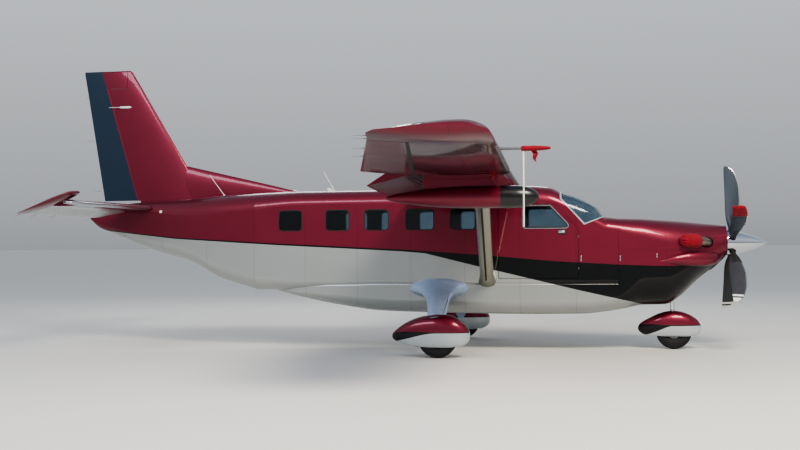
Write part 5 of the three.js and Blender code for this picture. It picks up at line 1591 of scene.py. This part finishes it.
main_points, nose_points = oval_points(MAIN_PANT, MAIN["y"]), oval_points(NOSE_PANT, 0)
main_pant = biggest(cut(loft(main_points), wheel_well(MAIN, 128, 322), loft(leg_rings(4, 5, 8, 30)),
                        axle(1500, 1850, 28.5)))
pant_skin = skin_of(main_points, True)
for side, flip in SIDES:
    dress(flip(main_pant), "pant_shell_" + side, "airframe", MAIN_PANT_PAINT, [pant_skin.on(flip)],
          replaces="main_pant_" + side)
nose_pant = biggest(cut(
    loft(nose_points), wheel_well(NOSE, 93, 302), prism("x", arch(103, 541, 595, 42), 4239, 4345),
    rod((NOSE_LEG_X, 0, 500), (NOSE_LEG_X, 0, 700), 37, sides=40),
))
dress(nose_pant, "nose_pant_shell", "nose_gear", NOSE_PANT_PAINT, [skin_of(nose_points, True)],
      replaces="nose_pant")

# Half a tyre's section: share of its half width, share of the way from rim to tread
TYRE_SIDE = [
    (-0.62, 0.0), (-0.72, 0.0), (-0.78, 0.05), (-0.83, 0.12), (-0.92, 0.25), (-0.985, 0.38), (-1, 0.5),
    (-0.98, 0.62), (-0.93, 0.75), (-0.86, 0.84), (-0.76, 0.905), (-0.66, 0.945),
]
GROOVES, GROOVE_DEPTH, GROOVE_HALF = (-0.48, -0.17), 0.05, 0.035


def crown(across):
    """The tread's height over its width"""
    return 1 - 0.12 * across**2 - 0.1 * across**4


half_tyre = list(TYRE_SIDE)
for at in GROOVES:
    for step, sunk in ((-1, 0), (-0.7, GROOVE_DEPTH), (0.7, GROOVE_DEPTH), (1, 0)):
        half_tyre.append((at + step * GROOVE_HALF, crown(at if sunk else at + step * GROOVE_HALF) - sunk))


def wheel(at, names, rides, replaces):
    """A tyre, and a split rim with bolts"""
    centre, tread = (at["x"], at["y"], at["z"]), at["rim"] + GAP
    rim, half, hub, bore = at["rim"], at["half"], at["hub"], at["bore"]
    section = [(a * half, tread + up * (at["radius"] - tread)) for a, up in half_tyre + [(0, 1)]]
    section += [(-a, r) for a, r in section[-2::-1]]
    dress(turned([*section, section[0]], "y", centre, 96), names[0], rides, RUBBER, angle=50,
          replaces=replaces[0])
    section = [
        (-hub, bore), (-hub, rim * 0.42), (-hub + 4, rim * 0.46), (-half * 0.5, rim * 0.5),
        (-half * 0.34, rim * 0.56), (-half * 0.34, rim * 0.74), (-half * 0.52, rim * 0.84),
        (-half * 0.66, rim * 0.9), (-half * 0.7, rim * 0.95), (-half * 0.7, rim), (-half * 0.62, rim),
    ]
    section += [(-a, r) for a, r in section[::-1]]
    parts = [turned([*section, section[0]], "y", centre, 96)]
    for a in circle(9):
        x, z = at["x"] + rim * 0.66 * math.cos(a), at["z"] + rim * 0.66 * math.sin(a)
        parts.append(rod((x, at["y"] - half * 0.34 - 9, z), (x, at["y"] + half * 0.34 + 9, z), 7, sides=6))
    dress(joined(parts), names[1], rides, GEAR_PAINT, replaces=replaces[1])


for side, sign in (("left", 1), ("right", -1)):
    wheel({**MAIN, "y": sign * MAIN["y"]}, ("tyre_rubber_" + side, "wheel_rim_" + side), "main_wheel_" + side,
          ("main_tyre_" + side, "main_wheel_" + side))
wheel(NOSE, ("nose_tyre_rubber", "nose_wheel_rim"), "nose_wheel", ("nose_tyre", "nose_wheel"))


# Nose leg: a steel cylinder with its polished piston and braces, and the fork
def upright(low, high, radius):
    return rod((NOSE_LEG_X, 0, low), (NOSE_LEG_X, 0, high), radius)


dress(joined([
    upright(790, 1250, 48), upright(800, 830, 54), upright(1190, 1240, 56),
    rod((NOSE_LEG_X, 0, 1215), (3432, 0, 1330), 30, sides=20),
    rod((NOSE_LEG_X, 0, 1000), (3432, 0, 1080), 30, sides=20), box((3420.3, 3445), (-90, 90), (1020, 1390), 4),
]), "nose_cylinder", "airframe", WHITE_PAINT, replaces="nose_leg")
dress(joined([upright(640, 795, 34), upright(640, 662, 46)]), "nose_piston", "airframe", CHROME)
fork = prism("x", arch(102, 540, 594, 42) + arch(86, 535, 568, 36)[::-1], 4241, 4343)
dress(joined([fork, upright(584, 639.7, 36), rod((4300, -95, 277.6), (4300, 95, 277.6), 20)]),
      "nose_fork_casting", "nose_gear", GEAR_PAINT, replaces="nose_fork")

# Struts: a flat oval with a dark centre line, a cuff at the foot and one under the wing. The centre line is a black
# groove made wider than the real one, as painted reflection of a dark line along the strut
STRUT_LOW, STRUT_HIGH = np.array([1380, 640, 1025.0]), np.array([1530, 3290, 2680.0])
STRUT_WIDE, STRUT_TALL = 108, 55


def strut_rings(shares, grown):
    """Rings of the strut at shares of its length, each grown by some millimetres"""
    x, y, z = (STRUT_LOW + (STRUT_HIGH - STRUT_LOW) * np.array(shares)[:, None]).T[:, :, None]
    grow, a = np.array(grown)[:, None], circle(48)[None, :]
    return stacked(x + (STRUT_WIDE + grow) * np.cos(a), y, z + (STRUT_TALL + grow * 0.6) * np.sin(a))


strut_points = strut_rings(np.linspace(0, 1, 12), [0] * 12)
strut_skin = skin_of(strut_points, True)
wing_room = moved(wing_blank, lambda p: p - (0, 0, GAP))
strut = biggest(cut(loft(strut_points), body("cabin", -GAP), wing_room))
# The groove is a real one, widened to carry a painted reflection: the dark line seen along the strut
groove_and_reflection_line = [STRUT_LOW + (STRUT_HIGH - STRUT_LOW) * t + (-14, 0, -56) for t in np.linspace(0.1, 0.93, 12)]
foot = cut(loft(strut_rings([0, 0.05, 0.075, 0.11, 0.13], [34, 30, 20, 5, 1.2])), body("cabin", -GAP))
cuff = cut(loft(strut_rings([0.87, 0.9, 0.935, 0.97, 1], [1.2, 6, 22, 40, 52])), wing_room)
for side, flip in SIDES:
    dress(flip(strut), "strut_fairing_" + side, "airframe", STRUT_POLISH, [strut_skin.on(flip)],
          replaces="strut_" + side)
    dress(flip(tube(groove_and_reflection_line, 15, 16)), "strut_groove_" + side, "airframe", SEAL)
    dress(flip(biggest(foot)), "strut_foot_" + side, "airframe", STRUT_POLISH, angle=50)
    dress(flip(biggest(cuff)), "strut_cuff_" + side, "airframe", RED_PAINT, angle=50)

# Radar pod with its dome, on a pylon under the right wing
RADAR_AT, RADAR_RADIUS, RADAR_JOINT = (0, -3500, 2325), 150, 1820
radar_x = np.linspace(250, RADAR_JOINT - GAP, 40)
radar_r = flowing([(250, 0), (290, 24), (650, 92), (1100, 138), (1470, 150), (RADAR_JOINT - GAP, 150)], radar_x)
radar = turned([*zip(radar_x, radar_r[:, 0]), (RADAR_JOINT - GAP, 0)], "x", RADAR_AT)
u = (1 - np.cos(np.linspace(0, math.pi, 25))) / 2
half = 28 * (2 * np.sqrt(u * (1 - u))) ** 0.8
around = np.append(half, -half[-2:0:-1])
along = np.append(u, u[-2:0:-1])
rise, front, back = np.array([(0, 1750, 820), (165, 1770, 790), (340, 1800, 760)]).T[:, :, None]
pylon = loft(stacked(front - along * (front - back), RADAR_AT[1] + around, RADAR_AT[2] + rise))
pylon = biggest(cut(pylon, mirrored(wing_room)))
dress(join(radar, pylon), "radar_shell", "airframe", RED_PAINT, replaces="radar_pod", angle=50)
dome = [(2000 + 320 * math.sin(t), RADAR_RADIUS * math.cos(t)) for t in np.linspace(0, math.pi / 2, 24)[:-1]]
dress(turned([(RADAR_JOINT, 0), (RADAR_JOINT, RADAR_RADIUS), *dome, (2320, 0)], "x", RADAR_AT), "radar_dome",
      "airframe", RADOME, replaces="radome", angle=50)

# Cabin: seats, floor covering, instrument panel
FLOOR = 1008.3
SEAT_ROWS = [2150, 1150, 150, -850, -1750]
SEAT_Y = 385


def swollen(obj, voxel, cap, pressure=4.0, shrink=0.0, frames=20):
    """A padded piece: remeshed, blown up as cloth without weight and held to a cap"""
    modified(obj, "REMESH", mode="VOXEL", voxel_size=voxel * MM)
    before = places(obj.data)
    step = obj.modifiers.new("pad", "CLOTH")
    step.settings.quality = 5
    step.settings.use_pressure = True
    step.settings.uniform_pressure_force = pressure
    step.settings.effector_weights.gravity = 0
    step.settings.shrink_min = shrink
    step.point_cache.frame_end = frames
    for number in range(1, frames + 1):
        bpy.context.scene.frame_set(number)
    mesh = evaluated(obj)
    shift = places(mesh) - before
    shift *= np.minimum(1, cap * MM / np.maximum(np.linalg.norm(shift, axis=1, keepdims=True), 1e-9))
    obj.modifiers.clear()
    mesh.vertices.foreach_set("co", (before + shift).ravel())
    mesh.update()
    obj.data = mesh
    bpy.context.scene.frame_set(1)
    return obj


def smoothed(obj):
    """One level of subdivision"""
    return modified(obj, "SUBSURF", levels=1, render_levels=1)


def channelled(obj, axis, depth=9, across=(-120, 120)):
    """Sewn channels along a pad, pressed in on both of its faces"""
    def press(points):
        out = points[:, axis] - points.mean(0)[axis]
        dip = sum(np.exp(-((points[:, 1] - at) / 7.0) ** 2) for at in across)
        points[:, axis] -= np.sign(out) * depth * dip * (np.abs(out) > 20)
        return points
    return moved(obj, press)


cushion = channelled(swollen(box((-214, 234), (-205, 205), (256, 366), 34, 4), 14, 14), 2)
back = moved(box((-60, 50), (-195, 195), (-270, 270), 34, 4),
             lambda p: swung(p, (0, 0, 0), (0, 1, 0), -11) + (-243, 0, 662))
back = channelled(swollen(back, 14, 14), 0)
pads, frames_made = [], []
for x in SEAT_ROWS:
    for y in (-SEAT_Y, SEAT_Y):
        pads += [moved(part, lambda p: p + (x, y, FLOOR)) for part in (cushion, back)]
        # Pan, two legs, foot, and an armrest's bar
        for x0, x1, half, low, high, bevel in (
            (-215, 225, 200, 236, 258, 5), (-150, -110, 150, 20, 240, 6), (110, 150, 150, 20, 240, 6),
            (-180, 180, 36, 17, 34, 3),
        ):
            frames_made.append(box((x + x0, x + x1), (y - half, y + half), (FLOOR + low, FLOOR + high), bevel))
        frames_made.append(tube([
            (x + ahead, y - 214, FLOOR + up) for ahead, up in ((-205, 330), (60, 372), (90, 300))
        ], 9))
seat_pads = joined(pads)
dress(seat_pads, "seat_cushions", "airframe", LEATHER, replaces="seats", angle=80)
RAIL = [(-30, 0), (30, 0), (30, 5), (12, 7), (12, 17), (-12, 17), (-12, 7), (-30, 5)]
frames_made += [prism("x", [(y + out, FLOOR + up) for out, up in RAIL], -1950, 2350) for y in (-SEAT_Y, SEAT_Y)]
dress(joined(frames_made), "seat_frames", "airframe", BRUSHED)
dress(box((-2080, 2720), (-600, 600), (FLOOR - 2, FLOOR + 3), 1), "cabin_carpet", "airframe", CARPET)

PANEL_OUTLINE = [(2880, 1520), (2990, 1520), (3060, 2000), (2900, 2000), (2860, 1960)]
WHEEL = [(-2, -90, 90), (-6, -82, 20), (-4, -40, -10), (0, 0, 0), (-4, 40, -10), (-6, 82, 20), (-2, 90, 90)]
panel_parts = [
    keep(through(PANEL_OUTLINE, (-560, 560)), body("cabin", WALL + 12)),
    box((2740, 2985), (-130, 130), (FLOOR, 1560), 12),
    box((2745, 2860), (-105, 105), (1556, 1590), 8),
]
for y in (-300, 300):
    panel_parts.append(rod((2700, y, 1700), (2890, y, 1720), 13))
    panel_parts.append(tube(curved([(2700 + dx, y + dy, 1700 + dz) for dx, dy, dz in WHEEL], 5), 12))
dress(joined(panel_parts), "panel_body", "airframe", PANEL_PLASTIC,
      replaces="instrument_panel")


def on_panel(y, half, low, high, lift, thick):
    """A plate on the panel's sloping face, lift and thick along x"""
    return loft([
        [(2860 + (1960 - z) * 20 / 440 - lift - dx, side, z)
         for z, side in ((low, y - half), (low, y + half), (high, y + half), (high, y - half))]
        for dx in (0, thick)
    ])


displays, bezels, knobs = [], [], []
for y in (-400, 0, 400):
    bezels.append(on_panel(y, 165, 1690, 1900, 0, 8))
    displays.append(on_panel(y, 145, 1708, 1882, 8, 1.5))
    knobs += [rod((2870, at, z), (2848, at, z), 6, 5, 20)
              for z in (1720, 1755, 1790, 1825, 1860) for at in (y - 155, y + 155)]
knobs += [rod((2880, y, 1610), (2852, y, 1610), 11, 9, 24) for y in range(-500, 580, 90)]
for y, tall in ((-60, 70), (-20, 90), (20, 80), (60, 60)):
    knobs.append(rod((2800, y, 1585), (2790, y, 1585 + tall), 5, 5, 12))
    knobs.append(box((2776, 2804), (y - 12, y + 12), (1577 + tall, 1599 + tall), 5))
for parts, name, finish in ((bezels, "display_bezels", SEAL), (displays, "display_glass", SCREEN),
                            (knobs, "panel_knobs", BRUSHED)):
    dress(joined(parts), name, "airframe", finish)


# Leading edge strips, laid on the skins
def laid_on(points, rows, columns, lift=0.9, sink=0.6):
    """A thin piece over some rows and columns of a surface's grid"""
    normals = grid_normals(points)
    top, under = (surface[rows][:, columns] for surface in (points + normals * lift, points - normals * sink))
    return loft(np.concatenate([top, under[:, ::-1]], 1))


def near_nose(wide):
    """The columns of a surface's grid next to its nose"""
    return slice(FOIL_STEPS - wide, FOIL_STEPS + wide + 1)


STRIP_END = 6350
wing_strip = joined([
    laid_on(inner_points, slice(1, None), near_nose(3)),
    laid_on(outer_points, slice(1, int((outer_points[:, 0, 1] < STRIP_END).sum())), near_nose(3)),
])
dress(both(wing_strip), "wing_edge_strips", "airframe", TITANIUM, angle=60)
tail_strip = laid_on(tail_points[len(tail_at) // 2 + 1:], slice(0, -5), near_nose(7))
dress(both(tail_strip), "stabilizer_edge_strips", "airframe", BRUSHED, angle=60)

# Wing tips: a white strobe on the upper contour, and the navigation lamps in front, all in clear lens glass
strobe = tube(curved([(1180, 6812, 2952), (1230, 6822, 2957), (1290, 6818, 2955)], 6), [1] + [17] * 11 + [1], 20,
              flat=0.55)
dress(both(strobe), "tip_strobes", "airframe", LAMP_GLASS, angle=60)
lamp_at = tube([(1700, 6818, 2905), (1725, 6822, 2904), (1760, 6812, 2902)], [14, 17, 4], 20)
dress(both(lamp_at), "tip_nav_lamps", "airframe", LAMP_GLASS, angle=60)


def wick(start, length, along=(-1, 0, 0)):
    """A static discharge wick: a short base and a thin pin"""
    start, along = np.array(start, float), np.array(along, float)
    base, end = start + along * length * 0.25, start + along * length
    return joined([rod(start, base, 4, 3, 10), rod(base, end, 1.6, 1.0, 8)])


wing_wicks = []
for y in (6560, 6700, 5900, 5300):
    front, back, z, _, _ = sections_at(WING_OUT, np.array([y]))[0]
    wing_wicks.append(wick((back + 6, y, z - 0.5 * INCIDENCE * (front - back)), 150))
dress(both(joined(wing_wicks[:2])), "tip_wicks", "airframe", SEAL)
for side, flip in SIDES:
    dress(flip(joined(wing_wicks[2:])), "aileron_wicks_" + side, "aileron_" + side, SEAL)
RUDDER_WICKS = [(-5719, 4580, 40), (-5700, 4314, 58), (-5608, 3553, 130), (-5478, 2670, 130)]
dress(joined([wick((x + 8, 0, z), long, (-0.96, 0, -0.1)) for x, z, long in RUDDER_WICKS]), "rudder_wicks",
      "rudder", SEAL)
tail_wicks = [wick(drooped((-5362, y, 2351)), 120, (-0.94, 0, -0.34)) for y in (2960, 2500, 1900)]
dress(both(joined(tail_wicks)), "elevator_wicks", "elevator", SEAL)


# Aerials: a whip on the tail, one on the cabin roof with a stub, rods on the fin, blades on the roof
def blade_aerial(x, z, tall, chord=120, rake=60, thick=9):
    share = np.linspace(0, 1, 8)[:, None]
    wide = chord * (1 - 0.45 * share) * np.sqrt(1 - np.maximum(0, share - 0.85) / 0.16)
    u = circle(20)[None, :]
    return loft(stacked(x - rake * share + wide / 2 * np.cos(u),
                        thick * (1 - 0.4 * share) * np.sin(u) * wide / chord, z + tall * share))


whips = joined([
    rod((-3113, -200, 2505), (-3135, -200, 2562), 20, 12, 20),
    rod((-3135, -200, 2560), (-3388, -200, 2899), 7, 3, 12),
    rod((-1239, 0, 2575), (-1448, 0, 2948), 9, 4, 12), rod((-1225, 0, 2578), (-1245, 0, 2612), 24, 10, 24),
])
dress(whips, "whip_aerials", "airframe", WHITE_PAINT)
dress(joined([blade_aerial(-1300, 2580, 80), blade_aerial(-400, 2582, 95, 150)]), "roof_aerials",
      "airframe", WHITE_PAINT, angle=50)
dress(blade_aerial(-1900, 2576, 60, 110), "beacon_aerial", "airframe", WHITE_PAINT, angle=50)
fin_rod = joined([
    tube([(-5265, 92, 4120), (-5100, 84, 4120), (-4960, 66, 4120)], [3, 4.5, 5], 12),
    tube([(-5080, 66, 4120), (-5060, 68, 4120), (-4900, 60, 4120), (-4865, 52, 4120)], [4, 17, 17, 6], 16, 1.2),
    rod((-4975, 20, 4120), (-4975, 66, 4120), 16, sides=16),
])
dress(both(fin_rod), "fin_aerials", "airframe", WHITE_PAINT, angle=50)
dress(both(rod((-4868, 52, 4120), (-4820, 50, 4120), 7, 5, 16)), "fin_aerial_tips", "airframe", RED_PAINT)


def side_plate(which, x, z, long, tall, thick, bevel=3, sink=4):
    """A small block on the body's right side"""
    y = side_y(which, x, z)
    return box((x - long / 2, x + long / 2), (-y - thick, -y + sink), (z - tall / 2, z + tall / 2), bevel)


dress(both(side_plate("tail", -4215, 2281, 44, 44, 7, 5, 10)), "tail_lamps", "airframe", WHITE_PAINT)
latches = [side_plate("cabin", 2850, 1462, 15, 84, 5), side_plate("cowl", 3450, 1462, 15, 84, 5),
           side_plate("cowl", 4010, 1500, 15, 60, 5)]
dress(both(joined(latches)), "cowl_latches", "airframe", BRUSHED)

# Crew door handles: a dark recess with a pale lever, and hinge pins at the front edge
y = side_y("cabin", 2545, 1880)
recess = box((2480, 2618), (-y - 2.2, -y + 6), (1836, 1924), 6)
lever = joined([box((2500, 2598), (-y - 11, -y - 2), (1862, 1898), 6),
                rod((2590, -y - 6, 1880), (2590, -y, 1880), 15)])
pins = joined([rod((2810, -711, z - 20), (2810, -711, z + 20), 11, sides=24) for z in (1310, 1810)])
for side, flip in (("right", same), ("left", mirrored)):
    dress(flip(recess), "handle_recess_" + side, "crew_door_" + side, SEAL)
    dress(flip(lever), "handle_lever_" + side, "crew_door_" + side, BRUSHED)
    dress(flip(pins), "crew_hinge_pins_" + side, "airframe", STEEL)
cargo_pins = [rod((x - 20, 745, z), (x + 20, 745, z), 11.5, sides=24) for x in (-1245, -245) for z in (2320, 1150)]
dress(joined(cargo_pins), "cargo_hinge_pins", "airframe", STEEL)
y = side_y("cabin", -745, 1800)
cargo_handle = [box((-815, -675), (y - 4, y + 2.5), (1780, 1840), 6),
                box((-800, -690), (y + 2, y + 12), (1798, 1822), 5)]
dress(joined(cargo_handle), "cargo_upper_handle", "cargo_door_upper", BRUSHED)
steps = [box((-990, -500), (615, 708), (z, z + 24), 4) for z in (1320, 1540)]
dress(joined(steps), "cargo_door_steps", "cargo_door_lower", BRUSHED)


# Hinge brackets of the control surfaces
def bracket(line, share):
    """An arm from ahead to a hinge line, with its barrel"""
    point, half = along_line(line, share)
    axis = line[1][0] - line[0][0]
    axis = axis / np.linalg.norm(axis)
    ahead = np.array([1.0, 0, 0]) - axis * axis[0]
    ahead /= np.linalg.norm(ahead)
    arm = rod(point - ahead * 4, point + ahead * (half + CLEAR + 14), 9, sides=16)
    return joined([arm, rod(point - axis * 12, point + axis * 12, 12, sides=24)])


arms = joined([bracket(line, share) for line in (flap_line, aileron_line, elevator_line) for share in (0.15, 0.85)])
dress(joined([both(arms)] + [bracket(rudder_line, share) for share in (0.12, 0.85)]), "control_hinges", "airframe",
      STEEL)


# Red covers of cloth
def gather(obj, centre, along, folds, depth, reach):
    """Folds of cloth that run out from a tie: deepest there, gone at reach millimetres from it"""
    centre, along = Vector(centre), Vector(along).normalized()
    side = along.orthogonal().normalized()
    other = along.cross(side)
    for vertex in obj.data.vertices:
        out = vertex.co / MM - centre
        away = out.dot(along)
        out -= along * away
        fall = max(0, 1 - abs(away) / reach) ** 1.5
        turn = math.atan2(out.dot(other), out.dot(side))
        wave = math.cos(folds * turn + 2.3 * math.sin(3 * turn) + away / 40) - 0.5
        vertex.co += out.normalized() * (depth * fall * wave * MM)


def cover(obj, name, rides):
    dress(obj, name, rides, COVER_CLOTH, angle=80)


# Pitot tube with its cover, the cover's tag and its white pole, and the tag of the stall vane
PITOT_Y, PITOT_Z = -5600, 2778
front_at = float(sections_at(WING_OUT, np.array([-PITOT_Y]))[0, 0])
dress(joined([rod((front_at - 60, PITOT_Y, PITOT_Z + 4), (2080, PITOT_Y, PITOT_Z + 1), 19, 17, 24),
              rod((2078, PITOT_Y, PITOT_Z + 1), (2230, PITOT_Y, PITOT_Z), 15, 13, 24)]), "pitot_tube",
      "airframe", ENGINE_METAL)
SLEEVE = [(2210, 18), (2216, 31), (2250, 33), (2300, 30), (2350, 32), (2410, 28), (2470, 24), (2530, 17), (2542, 9)]
sleeve = tube([(x, PITOT_Y, PITOT_Z) for x, _ in SLEEVE], [r for _, r in SLEEVE], 28)
sleeve = smoothed(swollen(sleeve, 5, 6, pressure=6))
gather(sleeve, (2232, PITOT_Y, PITOT_Z), (1, 0, 0), 9, 3.5, 70)
cover(sleeve, "pitot_cover", "airframe")
dress(rod((2236, PITOT_Y, PITOT_Z - 28), (2236, PITOT_Y, 1896), 11, 9, 20), "cover_pole", "airframe", WHITE_PAINT)


def streamer(start, length, wide, lean, wave, turns, name):
    """A sewn red tag that hangs with a few folds, made as a thin sheet"""
    t = np.linspace(0, 1, 41)[:, None]
    across = (np.linspace(0, 1, 7) - 0.5)[None, :] * wide
    twist = turns * math.pi * t
    points = stacked(
        start[0] + lean[0] * t + wave * np.sin(2.2 * math.pi * t) + across * np.cos(twist),
        start[1] + lean[1] * t + wave * 0.6 * np.sin(3.1 * math.pi * t + 0.6) + across * np.sin(twist),
        start[2] - length * t,
    )
    half_cloth = grid_normals(points) * 0.6
    made = loft(np.concatenate([points + half_cloth, (points - half_cloth)[:, ::-1]], 1))
    dress(made, name, "airframe", COVER_CLOTH, angle=60)


streamer((2350, PITOT_Y, PITOT_Z - 27), 140, 62, (30, 26), 12, 0.5, "pitot_tag")
STALL_Y = -4700
stall_front, _, stall_z, _, _ = sections_at(WING_OUT, np.array([-STALL_Y]))[0]
streamer((stall_front - 190, STALL_Y, stall_z - 150), 150, 46, (44, -16), 10, 0.6, "stall_vane_tag")

# Bags over the exhaust ends and the tip of one blade
bag_at = exhaust_line[-12:]
bag_end = bag_at[-1] - bag_at[-2]
bag_line = [p + Vector((0, 34 * min(1, i / 4), 0)) for i, p in enumerate(bag_at)]
bag_line += [bag_line[-1] + bag_end * 1.4, bag_line[-1] + bag_end * 2.6]
BAG_RADII = [81, 90, 100, 106, 104, 99, 103, 106, 102, 97, 99, 94, 76, 40]
bag = smoothed(swollen(tube(bag_line, BAG_RADII, 40), 9, 10, pressure=7, shrink=-0.05))
gather(bag, bag_line[1], bag_line[1] - bag_line[0], 13, 9, 120)
gather(bag, bag_line[-2], bag_end, 9, 10, 90)
cover(mirrored(bag), "exhaust_cover_right", "airframe")
cover(bag, "exhaust_cover_left", "airframe")
CAP = [(940, 242, 38, 22), (1000, 240, 44, 14), (1080, 232, 50, 2), (1150, 222, 50, -10), (1205, 206, 42, -22),
       (1232, 182, 30, -30), (PROP_RADIUS, 120, 10, -34)]
cap_at = np.concatenate([np.linspace(940, 1205, 24), [1218, 1228, 1235, PROP_RADIUS]])
wide, thick, ahead = flowing(CAP, cap_at).T[:, :, None]
a = circle(48)[None, :]
cap_rings = stacked(PROP_PLANE + ahead + wide / 2 * powered(np.cos(a), 0.7), thick / 2 * powered(np.sin(a), 0.7),
                    PROP_AXIS + cap_at[:, None])
tip_cover = moved(loft(cap_rings), lambda p: propped(p, BLADE_ANGLES[1]))
tip_cover = smoothed(swollen(tip_cover, 6, 8, pressure=5, shrink=-0.04))
tie, foot = propped([(PROP_PLANE, 0, PROP_AXIS + 990), (PROP_PLANE, 0, PROP_AXIS)], BLADE_ANGLES[1])
gather(tip_cover, tie, tie - foot, 16, 5, 110)
cover(tip_cover, "blade_tip_cover", "propeller")

# The workshop's own solids go
for obj in list(bpy.context.scene.collection.objects):
    if obj.name.split(".")[0] in ("shape", "solid", "joined", "moved"):
        bpy.data.objects.remove(obj)


# Camera, as the photo was taken
CAMERA_AT = (2.907, -17.805, 1.721)
YAW, PITCH, ROLL = 9.696, 0.96, -0.369
FOCAL_PIXELS = 1080.1
PHOTO_WIDTH = 800
SENSOR_WIDTH = 36

camera = new_object("camera", bpy.data.cameras.new("camera"))
camera.data.sensor_width = SENSOR_WIDTH
camera.data.lens = FOCAL_PIXELS * SENSOR_WIDTH / PHOTO_WIDTH
camera.data.clip_end = 1000
yaw, pitch, roll = (math.radians(a) for a in (YAW, PITCH, ROLL))
forward = Vector((-math.sin(yaw) * math.cos(pitch), math.cos(yaw) * math.cos(pitch), math.sin(pitch)))
level = Vector((math.cos(yaw), math.sin(yaw), 0))
above = level.cross(forward)
right = level * math.cos(roll) + above * math.sin(roll)
up = above * math.cos(roll) - level * math.sin(roll)
camera.matrix_world = Matrix((right, up, -forward)).transposed().to_4x4()
camera.location = CAMERA_AT
bpy.context.scene.camera = camera

# A pale studio floor that runs out into the backdrop, and soft lamps over and beside the plane
FLOOR_RADIUS, FLOOR_SIDES = 400000, 96
around = circle(FLOOR_SIDES)
floor = shape(stacked(FLOOR_RADIUS * np.cos(around), FLOOR_RADIUS * np.sin(around), 0), [tuple(range(FLOOR_SIDES))])
floor.name = "studio_floor"
matt = Finish("studio_floor_matt", roughness=0.9, specular_ior_level=0.2)
patches = matt.grains(900, 4, (*FADE, 0, 0.12))[1]
floor.data.materials.append(matt.set(
    base_color=matt.add("Mix", {0: patches, 6: "#dedcd6", 7: "#d3d1cb"}, 2, data_type="RGBA")))

world = bpy.data.worlds.new("studio")
bpy.context.scene.world = world
world.use_nodes = True
sky = world.node_tree
height = add_node(sky, "SeparateXYZ", (add_node(sky, "TexCoord", out="Generated"),), 2)
ramp = add_node(sky, "ValToRGB", (height,), None)
BACKDROP = [(0.0, "#a9acb0"), (0.03, "#b4b7bb"), (0.2, "#d5d9de"), (0.5, "#eef1f5"), (1.0, "#8ea3bf")]
for _ in BACKDROP[2:]:
    ramp.color_ramp.elements.new(0.5)
for stop, (at, colour) in zip(ramp.color_ramp.elements, BACKDROP):
    stop.position, stop.color = at, srgb(colour)
for name, value in (("Color", ramp.outputs[0]), ("Strength", 0.8)):
    plug(sky, sky.nodes["Background"].inputs[name], value)
settings = bpy.context.scene.view_settings
settings.view_transform = "AgX"
settings.look = "AgX - Medium High Contrast"


def lamp(name, place, towards, size, power, colour="#ffffff"):
    """A rectangular soft lamp"""
    data = bpy.data.lights.new(name, "AREA")
    data.shape = "RECTANGLE"
    data.size, data.size_y = size
    data.energy = power
    data.color = srgb(colour)[:3]
    made = new_object(name, data)
    made.location = place
    made.rotation_euler = (Vector(towards) - Vector(place)).to_track_quat("-Z", "Y").to_euler()


lamp("key", (7, -12, 12), (0.5, 0, 1.6), (6, 4), 2600, "#fff4e6")
lamp("fill", (-6, -13, 11), (-3, 0, 1.8), (8, 3), 700, "#e9f0ff")
lamp("back", (-3, 12, 10), (0, 0, 2), (12, 3), 450)
